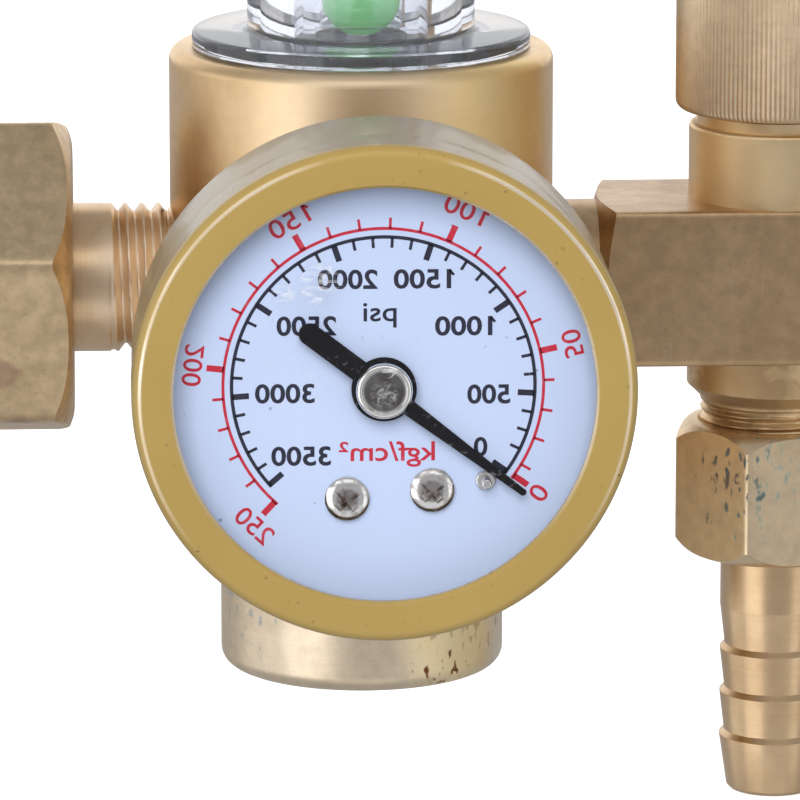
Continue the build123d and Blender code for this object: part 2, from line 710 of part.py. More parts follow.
# Link from the tube's tip to the tail of the sector, free at the tip so that the movement can be posed
tip_angle = tube_end + (tip_block / 2 + root_gap / 2) / tube_mean_r * 180 / pi
tip_eye_r = tube_mean_r - 1.9
link_back = sector_face + 0.3
with BuildPart() as end_link:
    add(bar(dial_plane(link_back), tail_end, polar(tip_eye_r, tip_angle), 1.5, 0.3))
    with BuildSketch(dial_plane(link_back)):
        with Locations(tail_end):
            Circle(sector_arbor_r + running_gap)
    extrude(amount=0.3, mode=Mode.SUBTRACT)
save(end_link, "end_link")

# Bourdon tube: a flat tube bent to most of a circle, closed at its tip
root_half_angle = (root_block / 2 + root_gap) / tube_mean_r * 180 / pi
tube_start = tube_root + root_half_angle
tube_plane = Plane(origin=(0, 0, 0), x_dir=(cos(radians(tube_start)), 0, sin(radians(tube_start))),
                   z_dir=(sin(radians(tube_start)), 0, -cos(radians(tube_start))))
with BuildPart() as bourdon_tube:
    with BuildSketch(tube_plane):
        with Locations((tube_mean_r, tube_back + tube_width / 2)):
            RectangleRounded(tube_radial, tube_width, tube_radial * 0.45)
            RectangleRounded(tube_radial - 2 * tube_wall, tube_width - 2 * tube_wall, tube_radial * 0.3,
                             mode=Mode.SUBTRACT)
    revolve(axis=Axis((0, 0, 0), (0, -1, 0)), revolution_arc=tube_end - tube_start)
save(bourdon_tube, "bourdon_tube")

# End piece that closes the tube and carries the link's eye
with BuildPart() as tube_tip:
    with BuildSketch(dial_plane(tube_back)):
        with Locations(polar(tube_mean_r, tip_angle)):
            Rectangle(tube_radial, tip_block, rotation=tip_angle)
    extrude(amount=tube_width)
    with BuildSketch(dial_plane(sector_back)):
        with Locations(polar(tube_mean_r - 1.8, tip_angle)):
            Rectangle(2.4, tip_block, rotation=tip_angle)
    extrude(amount=plate_thickness)
save(tube_tip, "tube_tip")

# Hairspring: a flat spiral of half turns that takes the play out of the gears
spiral_turns = 5
spiral_step = 0.42
spiral_start = 0.95
spiral_wire = 0.14
spiral_height = 0.3
spiral_lift = 0.35
spiral_reach = 2 * (spiral_start + spiral_turns * spiral_step)
with BuildPart() as hairspring:
    with BuildSketch(dial_plane(back_plate_face + spiral_lift)):
        for half in range(2 * spiral_turns - 1):
            radius = spiral_start + half * spiral_step / 2
            middle = (spiral_step / 4 * (-1) ** half, 0)
            with BuildSketch(mode=Mode.PRIVATE) as arc:
                with Locations(middle):
                    Circle(radius + spiral_wire / 2)
                    Circle(radius - spiral_wire / 2, mode=Mode.SUBTRACT)
                with Locations((middle[0], spiral_reach / 2 * (-1) ** half)):
                    Rectangle(2 * spiral_reach, spiral_reach, mode=Mode.INTERSECT)
            add(arc.sketch)
    extrude(amount=spiral_height)
save(hairspring, "hairspring")

# Movement plates: two brass plates on three pillars, the front one with bosses for the dial
plate_r = tube_mean_r - tube_radial / 2 - 0.6


def plate_outline(plane):
    """Movement plate with its holes for the arbors of the pinion and of the sector."""
    with BuildSketch(plane) as outline:
        Circle(plate_r)
        with Locations((0, -gear_centres / 2 + 0.3)):
            Rectangle(plate_r, 2 * plate_r - gear_centres + 3.5, mode=Mode.INTERSECT)
        Circle(arbor_r + running_gap, mode=Mode.SUBTRACT)
        with Locations(sector_pivot):
            Circle(sector_arbor_r + running_gap, mode=Mode.SUBTRACT)
    return outline.sketch


with BuildPart() as back_plate:
    extrude(plate_outline(dial_plane(plate_back)), amount=plate_thickness)
save(back_plate, "back_plate")

with BuildPart() as front_plate:
    extrude(plate_outline(dial_plane(front_plate_face - plate_thickness)), amount=plate_thickness)
    with BuildSketch(dial_plane(front_plate_face - plate_thickness)):
        with Locations(*dial_screw_places):
            Circle(1.3)
    extrude(amount=dial_face - dial_thickness - front_plate_face + plate_thickness)
    with BuildSketch(dial_plane(front_plate_face - plate_thickness)):
        with Locations(*dial_screw_places):
            Circle(screw_hole_r)
    extrude(amount=dial_face - front_plate_face + plate_thickness, mode=Mode.SUBTRACT)
save(front_plate, "front_plate")

with BuildPart() as plate_pillars:
    with BuildSketch(dial_plane(back_plate_face)):
        with Locations(*pillar_places):
            Circle(0.8)
    extrude(amount=front_plate_face - plate_thickness - back_plate_face)
save(plate_pillars, "plate_pillars")

# Clear cover: one moulding with a thick round tube, a flange on the body and a thread below it
spigot_end = cover_floor + 1.0
cover_groove = body_top - seal_section_d + 0.3
cover_groove_low = cover_groove - groove_half
cover_groove_high = cover_groove + groove_half
thread_r = cover_thread_d / 2
with BuildPart() as clear_cover:
    revolve(turned((cover_bore_d / 2, spigot_end), (thread_r, spigot_end), (thread_r, cover_groove_low),
                   (thread_r - groove_depth, cover_groove_low),
                   (thread_r - groove_depth, cover_groove_high), (thread_r, cover_groove_high),
                   (thread_r, body_top), (cover_flange_d / 2, body_top), (cover_flange_d / 2, flange_top),
                   (cover_d / 2, flange_top), (cover_d / 2, cover_top), (0, cover_top),
                   (0, cover_top - cover_roof), (cover_bore_d / 2, cover_top - cover_roof), plane=Plane.XZ),
            axis=Axis.Z)
    fillet(clear_cover.edges().group_by(Axis.Z)[-1], 2.0)
save(clear_cover, "clear_cover")

with BuildPart() as cover_seal:
    with BuildSketch(Plane.XZ):
        with Locations((thread_r + screw_gap - seal_section_d / 2, cover_groove)):
            Circle(seal_section_d / 2 - running_gap / 2)
    revolve(axis=Axis.Z)
save(cover_seal, "cover_seal")

# Metering tube: its bore widens upwards, so the ball floats higher in a faster flow
tube_foot = tube_floor + tube_washer
ball_centre = ball_seat_z + ball_d / 2
seat_r = tube_seat_bore_d / 2
seat_ledge = ball_centre - sqrt((ball_d / 2) ** 2 - seat_r ** 2) - 0.2
with BuildPart() as metering_tube:
    revolve(turned((seat_r, tube_foot), (tube_d / 2, tube_foot), (tube_d / 2, tube_top),
                   (tube_top_bore_d / 2, tube_top), (tube_bottom_bore_d / 2, seat_ledge),
                   (seat_r, seat_ledge), plane=Plane.XZ), axis=Axis.Z)
save(metering_tube, "metering_tube")

with BuildPart() as tube_seal:
    add(ring(tube_recess_d, tube_d, tube_floor, tube_foot))
save(tube_seal, "tube_seal")

with BuildPart() as ball_float:
    with Locations((0, 0, ball_centre)):
        Sphere(ball_d / 2)
save(ball_float, "ball_float")

# Stop in the top of the tube: a notched plug that keeps the ball in and centres the tube
with BuildPart() as ball_stop:
    stop_r = tube_top_bore_d / 2 - 0.2
    revolve(turned((0, tube_top - stop_depth), (stop_r, tube_top - stop_depth), (stop_r, tube_top),
                   (cover_bore_d / 2 - screw_gap, tube_top), (cover_bore_d / 2 - screw_gap, tube_top + 1.5),
                   (0, tube_top + 1.5), plane=Plane.XZ), axis=Axis.Z)
    with BuildSketch(Plane.XY.offset(tube_top - stop_depth)):
        with PolarLocations(cover_bore_d / 2, 4):
            Rectangle(cover_bore_d / 2, 2.4)
    extrude(amount=stop_depth + 1.5, mode=Mode.SUBTRACT)
save(ball_stop, "ball_stop")

# Valve body: squared block with a turned shoulder and an upright barrel through it, all in one piece
valve_axis = Axis((valve_x, 0, 0), (0, 0, 1))
valve_plane = Plane(origin=(valve_x, 0, 0), x_dir=(1, 0, 0), z_dir=(0, -1, 0))
arm_inner_x = body_r - arm_socket_depth + port_gap
arm_corner_r = sqrt(arm_depth ** 2 + arm_height ** 2) / 2
neck_r = neck_d / 2
gland_floor = valve_top - gland_depth
with BuildPart() as valve_body:
    with BuildSketch(Plane.YZ.offset(arm_face_x)):
        Rectangle(arm_depth, arm_height)
    extrude(amount=arm_end_x - arm_face_x)
    revolve(turned((arm_face_x, 0), (arm_face_x, arm_face_d / 2),
                   (arm_face_x + arm_chamfer_length, arm_corner_r), (arm_end_x, arm_corner_r),
                   (arm_end_x, 0)),
            axis=Axis.X, mode=Mode.INTERSECT)
    revolve(turned((arm_inner_x, 0), (arm_inner_x, shank_r), (arm_face_x, shank_r), (arm_face_x, 0)),
            axis=Axis.X)
    revolve(turned((0, valve_top), (valve_d / 2 - 0.4, valve_top), (valve_d / 2, valve_top - 0.4),
                   (valve_d / 2, valve_bottom), (neck_r + 0.3, valve_bottom - neck_shoulder),
                   (neck_r, valve_bottom - neck_shoulder - 0.8), (neck_r, valve_neck_bottom + 0.8),
                   (neck_r - 0.8, valve_neck_bottom), (0, valve_neck_bottom), plane=valve_plane),
            axis=valve_axis)
    revolve(turned((0, valve_top + 1), (gland_thread_d / 2, valve_top + 1),
                   (gland_thread_d / 2, gland_floor), (chamber_d / 2, gland_floor),
                   (chamber_d / 2, chamber_floor),
                   (valve_orifice_d / 2, chamber_floor), (valve_orifice_d / 2, orifice_end),
                   (outlet_bore_d / 2, orifice_end), (outlet_bore_d / 2, valve_neck_bottom - 1),
                   (0, valve_neck_bottom - 1), plane=valve_plane), axis=valve_axis, mode=Mode.SUBTRACT)
    with Locations(Plane(origin=(arm_inner_x, 0, 0), z_dir=(-1, 0, 0))):
        Hole(port_d / 2, depth=valve_x - arm_inner_x)
save(valve_body, "valve_body")

# Needle: cone in the orifice, guide with an O-ring, and the spindle up to the knob
guide_r = chamber_d / 2 - running_gap
guide_bottom = port_d / 2 + 0.3
guide_top = guide_bottom + 3.8
needle_root_r = 2.2
knob_web = knob_bottom + knob_height * 0.7
knob_recess = knob_bottom + knob_height - 2.6
spindle_top = knob_web - seat_gap
needle_groove = (guide_bottom + guide_top) / 2
needle_groove_low = needle_groove - groove_half
needle_groove_high = needle_groove + groove_half
with BuildPart() as needle_stem:
    revolve(turned((0, chamber_floor - 2), (0.8, chamber_floor - 2),
                   (valve_orifice_d / 2 - 0.08, chamber_floor), (needle_root_r, chamber_floor + 1.3),
                   (needle_root_r, guide_bottom), (guide_r, guide_bottom),
                   (guide_r, needle_groove_low), (guide_r - groove_depth, needle_groove_low),
                   (guide_r - groove_depth, needle_groove_high), (guide_r, needle_groove_high),
                   (guide_r, guide_top), (spindle_d / 2, guide_top), (spindle_d / 2, spindle_top),
                   (0, spindle_top), plane=valve_plane), axis=valve_axis)
    with Locations((valve_x, 0, spindle_top)):
        Hole(1.5 + running_gap, depth=6.5)
save(needle_stem, "needle_stem")

with BuildPart() as needle_seal:
    with BuildSketch(valve_plane):
        with Locations((guide_r - seal_section_d / 2 + running_gap / 2, needle_groove)):
            Circle(seal_section_d / 2 - running_gap / 2)
    revolve(axis=valve_axis)
save(needle_seal, "needle_seal")

# Gland nut: screwed into the barrel, keeps the needle in and shows as a ring under the knob
with BuildPart() as gland_nut:
    revolve(turned((spindle_d / 2 + running_gap, gland_floor + seat_gap),
                   (gland_thread_d / 2 - screw_gap, gland_floor + seat_gap),
                   (gland_thread_d / 2 - screw_gap, valve_top), (gland_flange_d / 2, valve_top),
                   (gland_flange_d / 2, valve_top + gland_flange_thickness),
                   (spindle_d / 2 + running_gap, valve_top + gland_flange_thickness), plane=valve_plane),
            axis=valve_axis)
save(gland_nut, "gland_nut")

# Knob: straight knurl all round, held on the spindle by a screw in its top
knob_top = knob_bottom + knob_height
knob_r = knob_d / 2
with BuildPart() as flow_knob:
    with BuildSketch(Plane(origin=(valve_x, 0, knob_bottom))):
        knurl = []
        for index in range(2 * knurl_count):
            knurl.append(polar(knob_r - knurl_depth * (index % 2), index * 180 / knurl_count))
        with BuildLine():
            Polyline(*knurl, close=True)
        make_face()
    extrude(amount=knob_height)
    revolve(turned((0, knob_bottom), (knob_r - knob_edge, knob_bottom), (knob_r, knob_bottom + knob_edge),
                   (knob_r, knob_top - knob_edge), (knob_r - knob_edge, knob_top), (0, knob_top),
                   plane=valve_plane), axis=valve_axis, mode=Mode.INTERSECT)
    revolve(turned((0, knob_bottom - 1), (spindle_d / 2 + running_gap, knob_bottom - 1),
                   (spindle_d / 2 + running_gap, knob_web), (1.6, knob_web), (1.6, knob_recess),
                   (4.2, knob_recess), (4.2, knob_top + 1), (0, knob_top + 1), plane=valve_plane),
            axis=valve_axis, mode=Mode.SUBTRACT)
save(flow_knob, "flow_knob")

with BuildPart() as knob_screw:
    revolve(turned((0, spindle_top - 5.5), (1.5, spindle_top - 5.5), (1.5, knob_recess), (3.4, knob_recess),
                   (3.4, knob_recess + 1.4), (2.6, knob_recess + 2.0), (0, knob_recess + 2.0),
                   plane=valve_plane), axis=valve_axis)
    with BuildSketch(Plane(origin=(valve_x, 0, knob_recess + 2.0))):
        Rectangle(4, 0.8)
        Rectangle(0.8, 4)
    extrude(amount=-1.0, mode=Mode.SUBTRACT)
save(knob_screw, "knob_screw")

# Union nut: clamps the hose barb against a washer under the valve body
union_r = union_flats / sqrt(3)
union_face_r = union_flats / 2 - 0.2
union_slope = (union_r - union_face_r) * 0.6
union_inner = union_bottom + union_shoulder
union_bore_r = barb_collar_d / 2 + 2 * screw_gap
washer_thickness = 0.6
with BuildPart() as union_nut:
    extrude(hexagon(Plane(origin=(valve_x, 0, union_bottom)), union_flats, union_corner_turn),
            amount=union_top - union_bottom)
    revolve(turned((0, union_bottom), (union_face_r, union_bottom), (union_r, union_bottom + union_slope),
                   (union_r, union_top - union_slope), (union_face_r, union_top), (0, union_top),
                   plane=valve_plane), axis=valve_axis, mode=Mode.INTERSECT)
    revolve(turned((0, union_bottom - 1), (union_bore_r, union_bottom - 1),
                   (union_bore_r, union_inner), (neck_r + screw_gap, union_inner),
                   (neck_r + screw_gap, union_top + 1), (0, union_top + 1), plane=valve_plane),
            axis=valve_axis, mode=Mode.SUBTRACT)
save(union_nut, "union_nut")

with BuildPart() as outlet_washer:
    with BuildSketch(Plane(origin=(valve_x, 0, valve_neck_bottom - washer_thickness))):
        Circle(neck_r - 0.4)
        Circle(outlet_bore_d / 2, mode=Mode.SUBTRACT)
    extrude(amount=washer_thickness)
save(outlet_washer, "outlet_washer")

# Hose barb: head and collar in the nut, plain tail, then barbs that each widen upwards to a sharp step
with BuildPart() as hose_barb:
    head_top_z = valve_neck_bottom - washer_thickness
    outline = [(barb_bore_d / 2, head_top_z), (neck_r - 0.3, head_top_z), (neck_r - 0.3, union_inner),
               (barb_collar_d / 2, union_inner), (barb_collar_d / 2, barb_collar_end),
               (barb_d / 2, barb_collar_end), (barb_d / 2, barb_taper_start)]
    for index in range(barb_count):
        step_z = barb_first_step - index * barb_pitch
        outline.append((barb_valley_d / 2, step_z + 0.5))
        outline.append((barb_d / 2, step_z))
    outline.append((barb_tip_d / 2, barb_bottom + 0.3))
    outline.append((barb_tip_d / 2 - 0.3, barb_bottom))
    outline.append((barb_bore_d / 2, barb_bottom))
    revolve(turned(*outline, plane=valve_plane), axis=valve_axis)
save(hose_barb, "hose_barb")
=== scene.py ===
from math import cos, radians, sin

import bmesh
import bpy
import numpy as np
from mathutils import Matrix, Vector


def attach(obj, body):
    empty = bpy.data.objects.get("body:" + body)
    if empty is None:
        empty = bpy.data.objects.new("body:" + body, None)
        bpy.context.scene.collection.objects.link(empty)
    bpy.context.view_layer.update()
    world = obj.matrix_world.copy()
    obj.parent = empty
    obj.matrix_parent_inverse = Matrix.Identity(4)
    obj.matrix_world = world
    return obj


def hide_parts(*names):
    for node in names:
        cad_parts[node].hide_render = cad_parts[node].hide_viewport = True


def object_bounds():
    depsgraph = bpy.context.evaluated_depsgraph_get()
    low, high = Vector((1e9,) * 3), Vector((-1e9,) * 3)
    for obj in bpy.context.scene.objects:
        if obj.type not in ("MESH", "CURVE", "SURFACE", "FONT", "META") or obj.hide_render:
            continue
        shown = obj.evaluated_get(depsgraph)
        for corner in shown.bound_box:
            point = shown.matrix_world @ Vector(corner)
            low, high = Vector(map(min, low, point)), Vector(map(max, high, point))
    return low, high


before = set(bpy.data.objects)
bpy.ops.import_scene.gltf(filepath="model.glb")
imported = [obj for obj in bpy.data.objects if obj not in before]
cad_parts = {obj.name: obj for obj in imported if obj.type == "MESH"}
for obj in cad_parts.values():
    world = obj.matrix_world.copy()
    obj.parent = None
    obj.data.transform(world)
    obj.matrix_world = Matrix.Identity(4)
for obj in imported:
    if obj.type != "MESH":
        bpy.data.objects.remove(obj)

cad_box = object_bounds()
scene = bpy.context.scene

# Studio: the regulator stands before a plain white ground, seen from a little above and to the left by a long lens.
# Everything is placed from the point where the axes of body, inlet, outlet and gauge cross; the frame's own origin
# lies in the middle of the inlet nut's thread. The room is light behind and above and dim in front, as metal shows.
crossing = Vector((0.053, 0.0, 0.0))
turn, tilt = radians(2.559), radians(12.417)
eye_aside, eye_drop, eye_away = 0.003652, 0.011832, 0.6344
to_right = Vector((cos(turn), -sin(turn), 0))
to_top = Vector((sin(turn) * sin(tilt), cos(turn) * sin(tilt), cos(tilt)))
to_back = Vector((sin(turn) * cos(tilt), cos(turn) * cos(tilt), -sin(tilt)))
eye = bpy.data.objects.new("eye", bpy.data.cameras.new("eye"))
eye.data.sensor_width = 36.0
eye.data.lens = 302.6
eye.data.clip_start, eye.data.clip_end = 0.05, 30.0
eye_place = crossing + eye_aside * to_right - eye_drop * to_top - eye_away * to_back
eye.matrix_world = Matrix.Translation(eye_place) @ Matrix((to_right, to_top, -to_back)).transposed().to_4x4()
scene.collection.objects.link(eye)
scene.camera = eye
scene.view_settings.view_transform = "Standard"


def lamp(name, place, width, height, watts, mirrored=True, scattered=False):
    """Flat soft lamp at a place in metres from the crossing of the axes, facing that point. Shiny faces mirror it,
    matt ones scatter it, or both."""
    made = bpy.data.objects.new(name, bpy.data.lights.new(name, "AREA"))
    made.data.shape = "RECTANGLE"
    made.data.size, made.data.size_y = width, height
    made.data.energy = watts
    aim = (-Vector(place)).to_track_quat("-Z", "Y")
    made.matrix_world = Matrix.Translation(crossing + Vector(place)) @ aim.to_matrix().to_4x4()
    made.visible_camera = False
    made.visible_glossy, made.visible_diffuse = mirrored, scattered
    scene.collection.objects.link(made)


lamp("lamp_left", (-0.69, -0.62, -0.1), 0.7, 0.95, 2.5)
lamp("lamp_side", (-1.1, 0.12, -0.1), 0.8, 1.0, 1.45)
lamp("lamp_right", (0.75, -0.65, -0.1), 0.38, 0.95, 0.9)
lamp("lamp_front", (-0.05, -1.0, 0.9), 1.6, 0.5, 2.3)
lamp("lamp_low", (0.0, -0.9, -0.8), 1.4, 0.7, 1.0)
lamp("lamp_behind", (0.0, 1.2, 0.45), 2.7, 1.1, 7.3, scattered=True)
lamp("lamp_fill", (-0.15, -1.05, 0.5), 0.7, 0.7, 9.8, mirrored=False, scattered=True)

sky = bpy.data.worlds.new("studio_air")
scene.world = sky
sky.use_nodes = True
nodes, links = sky.node_tree.nodes, sky.node_tree.links
air = nodes["Background"]
air.inputs["Color"].default_value = (0.93, 0.95, 1.0, 1.0)
air.inputs["Strength"].default_value = 0.5
white = nodes.new("ShaderNodeBackground")
white.inputs["Strength"].default_value = 1.0
seen = nodes.new("ShaderNodeLightPath")
either = nodes.new("ShaderNodeMixShader")
links.new(seen.outputs["Is Camera Ray"], either.inputs[0])
links.new(air.outputs[0], either.inputs[1])
links.new(white.outputs[0], either.inputs[2])
links.new(either.outputs[0], nodes["World Output"].inputs[0])


# Body: a block of brass turned from bar, faced on top and screwed to everything else.
# The tool has left fine rings round it, and handling has left soft patches and a few scuffs. Two pale patches on its
# front are painted light.
class Signal:
    """A value in a shader. Arithmetic on it adds Math nodes, and Vector Math ones where a side is a vector."""

    def __init__(self, finish, socket):
        self.finish = finish
        self.socket = socket

    def join(self, operation, left, right=0.0, out=0):
        """Adds the node of an operation on two sides, each a number, a tuple or a signal, and returns its output."""
        sides = [left, right]
        vector = any(isinstance(s, tuple) or isinstance(s, Signal) and s.socket.type == "VECTOR" for s in sides)
        node = self.finish.tree.nodes.new("ShaderNodeVectorMath" if vector else "ShaderNodeMath")
        node.operation = operation
        for socket, side in zip(node.inputs, sides):
            self.finish.feed(socket, side)
        return Signal(self.finish, node.outputs[out])

    def __add__(self, other):
        return self.join("ADD", self, other)

    def __radd__(self, other):
        return self.join("ADD", other, self)

    def __sub__(self, other):
        return self.join("SUBTRACT", self, other)

    def __rsub__(self, other):
        return self.join("SUBTRACT", other, self)

    def __mul__(self, other):
        return self.join("MULTIPLY", self, other)

    def __truediv__(self, other):
        return self.join("DIVIDE", self, other)

    def __abs__(self):
        return self.join("ABSOLUTE", self)

    def held(self):
        """The value kept between 0 and 1."""
        return self.join("MINIMUM", self.join("MAXIMUM", self, 0.0), 1.0)

    def distance(self, point):
        """Distance of a place from a point in metres."""
        return self.join("DISTANCE", self, point, out=1)


class Finish:
    """One procedural material: a Principled shader and the nodes that feed it."""

    def __init__(self, name, **constants):
        self.material = bpy.data.materials.new(name)
        self.material.use_nodes = True
        self.tree = self.material.node_tree
        self.shader = self.tree.nodes["Principled BSDF"]
        self.place = self.node("ShaderNodeTexCoord", out="Object") - tuple(crossing)
        for key, value in constants.items():
            self.drive(key.replace("_", " ").title().replace("Ior", "IOR"), value)

    def feed(self, socket, value):
        """Puts a number, a colour or a link into a socket."""
        if isinstance(value, Signal):
            self.tree.links.new(value.socket, socket)
        elif socket.type == "RGBA":
            socket.default_value = (*value[:3], 1.0)
        elif socket.type == "VECTOR" and not isinstance(value, tuple):
            socket.default_value = (value, value, value)
        else:
            socket.default_value = value

    def node(self, kind, settings=None, sockets=None, out=0):
        """Adds a node, sets it up, then fills its sockets, and returns one of its outputs."""
        made = self.tree.nodes.new(kind)
        for key, value in (settings or {}).items():
            setattr(made, key, value)
        for key, value in (sockets or {}).items():
            self.feed(next(s for s in made.inputs if key in (s.identifier, s.name)), value)
        return Signal(self, made.outputs[out])

    def drive(self, name, value):
        """Sets one of the shader's own sockets."""
        self.feed(self.shader.inputs[name], value)

    def along(self, axis):
        """One coordinate of the place, in metres from the crossing of the axes: 0 is X, 1 is Y and 2 is Z."""
        return self.node("ShaderNodeSeparateXYZ", None, {"Vector": self.place}, out=axis)

    def noise(self, scale, stretch=(1.0, 1.0, 1.0), detail=2.0, warp=0.0, shift=0.0):
        """Soft random value near 0.5 with so many grains to the metre, drawn out along an axis by a small stretch."""
        spot = self.place * stretch + (shift, shift, shift)
        return self.node("ShaderNodeTexNoise", None, {"Vector": spot, "Scale": scale, "Detail": detail,
                                                      "Distortion": warp})

    def blend(self, mask, low, high):
        """Colour that goes from low to high as the mask goes from 0 to 1."""
        return self.node("ShaderNodeMix", {"data_type": "RGBA"},
                         {"Factor_Float": mask, "A_Color": low, "B_Color": high}, out=2)

    def relief(self, height, depth):
        """Bumps the surface by a height of 0 to 1, whose full step is depth metres."""
        self.drive("Normal", self.node("ShaderNodeBump", None, {"Height": height, "Distance": depth}))


def tone(red, green, blue):
    """Colour as a picture holds it, 0 to 255, turned into light."""
    shade = np.array([red, green, blue]) / 255
    return tuple(float(c) for c in np.where(shade > 0.04045, ((shade + 0.055) / 1.055) ** 2.4, shade / 12.92))


def lines(finish, scale, stretch, width, shift=0.0, turned_by=0.0):
    """Fine straight scratches: where a much drawn-out noise passes its middle value, fading within a width of it."""
    spot = finish.node("ShaderNodeMapping", None, {"Vector": finish.place, "Rotation": (0.0, turned_by, 0.3),
                                                   "Scale": stretch})
    value = finish.node("ShaderNodeTexNoise", None, {"Vector": spot + (shift, 0.0, shift), "Scale": scale,
                                                     "Detail": 1.0})
    return (1.0 - abs(value - 0.5) / width).held()


def brass(name, light, deep, lay, lay_depth=4e-6, roughness=0.27, grain=0.3, scuffs=0.5, stains_and_painted_light=()):
    """Brass worked by a tool: soft patches between two tones, fine lines across the lay, grain, scuffs, and spots of
    stain or painted light. A spot is a centre, a reach, a shade, a force and a kind: soft, blot (ragged edge) or broken
    (speckled)."""
    finish = Finish(name, metallic=1.0)
    patches = (finish.noise(110.0, detail=4.0, warp=0.6) * 2.4 - 0.7).held()
    tool = finish.noise(1.0, stretch=lay, detail=3.0)
    specks = finish.noise(2300.0, detail=2.0)
    pits = (specks * 3.0 - 1.75).held()
    scratches = (lines(finish, 30.0, (11.0, 11.0, 0.22), 0.006, turned_by=0.7)
                 + lines(finish, 42.0, (0.2, 7.0, 9.0), 0.006, shift=3.0, turned_by=-0.4)).held()
    scratches = scratches * (finish.noise(120.0, shift=9.0) * 5.0 - 2.8).held() * scuffs
    colour = finish.blend(patches * 0.6 + tool * 0.4, light, deep)
    cloud = (finish.noise(750.0, detail=5.0, shift=5.0) * 3.2 - 1.1).held() * grain
    colour = finish.blend(cloud * 0.34, colour, tuple(c * 0.45 for c in deep))
    colour = finish.blend(pits * grain * 0.4, colour, tuple(c * 0.35 for c in deep))
    colour = finish.blend(scratches * 0.3, colour, (0.93, 0.86, 0.72))
    dull = patches * 0.10 + specks * 0.08 * grain
    for centre, reach, shade, force, kind in stains_and_painted_light:
        edge = finish.place.distance(centre) / reach
        if kind == "broken":
            edge = edge + (finish.noise(1300.0, (1.0, 1.0, 0.55), 4.0) - 0.5) * 6.0 + 0.9
        elif kind == "blot":
            edge = edge + (finish.noise(420.0, detail=4.0, warp=1.0) - 0.5) * 1.3
        spot = ((1.0 - edge) * 2.2).held() * force
        colour = finish.blend(spot, colour, shade)
        dull = dull + spot * 0.2
    finish.drive("Base Color", colour)
    finish.drive("Roughness", tool * 0.08 + dull + (roughness - 0.09))
    finish.relief(tool * 0.7 + specks * grain - scratches * 0.6, lay_depth)
    return finish


def dress(finish, *names):
    """Gives carried-over CAD nodes a finish."""
    for name in names:
        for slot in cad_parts[name].material_slots:
            slot.material = finish.material


# Two pale soft patches on the body's front above the gauge are painted light: they lighten the dark reflection of the
# gauge cup there.
body_brass = brass("body_brass", tone(242, 212, 168), tone(224, 190, 142), (22.0, 22.0, 5200.0), lay_depth=9e-6,
                   roughness=0.34, stains_and_painted_light=[((0.0, -0.0180, 0.0170), 0.0130, tone(250, 226, 190), 0.75, "soft"),
                                           ((0.0125, -0.0130, 0.0170), 0.0100, tone(246, 216, 148), 0.6, "soft")])
dress(body_brass, "body")


# Bottom cap: a plain brass cup, turned all over and screwed up against a fibre gasket.
# It is paler than the body, with a bluish bloom on its left and one rusty spot near its lower edge.
def rounded(*corners, steps=7):
    """Outline through (across, along) corners. One with a radius becomes an arc that touches both of its sides: it
    leaves them radius / tan(half) from the corner, and its centre is radius / sin(half) away on the bisector."""
    points = np.array([corner[:2] for corner in corners], float)
    outline = []
    for number, corner in enumerate(corners):
        if len(corner) < 3:
            outline.append(points[number:number + 1])
            continue
        ways = points[[number - 1, (number + 1) % len(points)]] - points[number]
        ways /= np.linalg.norm(ways, axis=1)[:, None]
        half = np.arccos(np.clip(ways[0] @ ways[1], -1, 1)) / 2
        middle = ways.sum(axis=0)
        centre = points[number] + middle / np.linalg.norm(middle) * corner[2] / np.sin(half)
        spokes = points[number] + ways * corner[2] / np.tan(half) - centre
        start, end = np.arctan2(spokes[:, 1], spokes[:, 0])
        sweep = (end - start + np.pi) % (2 * np.pi) - np.pi
        angles = start + sweep * np.linspace(0, 1, steps)
        outline.append(centre + corner[2] * np.stack([np.cos(angles), np.sin(angles)], axis=1))
    return np.concatenate(outline)


def spine(foot, axis, side):
    """Frame for a turned piece: where its axis starts, the way it runs, and the way of angle 0."""
    axis, side = np.array(axis, float), np.array(side, float)
    return np.array(foot, float), axis, side, np.cross(axis, side)


def carried(across, along, frame_of_piece, columns):
    """Grid of points round an axis: foot + along * axis + across * (cos t * side + sin t * other side). Both values
    may differ from column to column."""
    foot, axis, side, other = frame_of_piece
    t = np.arange(columns) * 2 * np.pi / columns
    round_it = np.cos(t)[:, None] * side + np.sin(t)[:, None] * other
    across = np.broadcast_to(across, (len(across), columns))
    along = np.broadcast_to(along, (len(along), columns))
    return foot + along[..., None] * axis + across[..., None] * round_it


def turned(outline, frame_of_piece, columns):
    """Grid of an outline carried round an axis."""
    return carried(outline[:, :1], outline[:, 1:], frame_of_piece, columns)


def finished(name, mesh, finish, rides, replaced=(), crease=32.0):
    """Merges, turns outwards and smooths a mesh drawn about the crossing of the axes, moves it there, and puts it on
    its body in place of CAD nodes."""
    work = bmesh.new()
    work.from_mesh(mesh)
    bmesh.ops.remove_doubles(work, verts=work.verts, dist=1e-7)
    bmesh.ops.dissolve_degenerate(work, dist=1e-8, edges=work.edges)
    bmesh.ops.recalc_face_normals(work, faces=work.faces)
    bmesh.ops.translate(work, verts=work.verts, vec=crossing)
    work.to_mesh(mesh)
    work.free()
    mesh.shade_smooth()
    mesh.set_sharp_from_angle(angle=radians(crease))
    mesh.materials.clear()
    mesh.materials.append(finish.material)
    piece = bpy.data.objects.new(name, mesh)
    scene.collection.objects.link(piece)
    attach(piece, rides)
    if replaced:
        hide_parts(*replaced)
    return piece


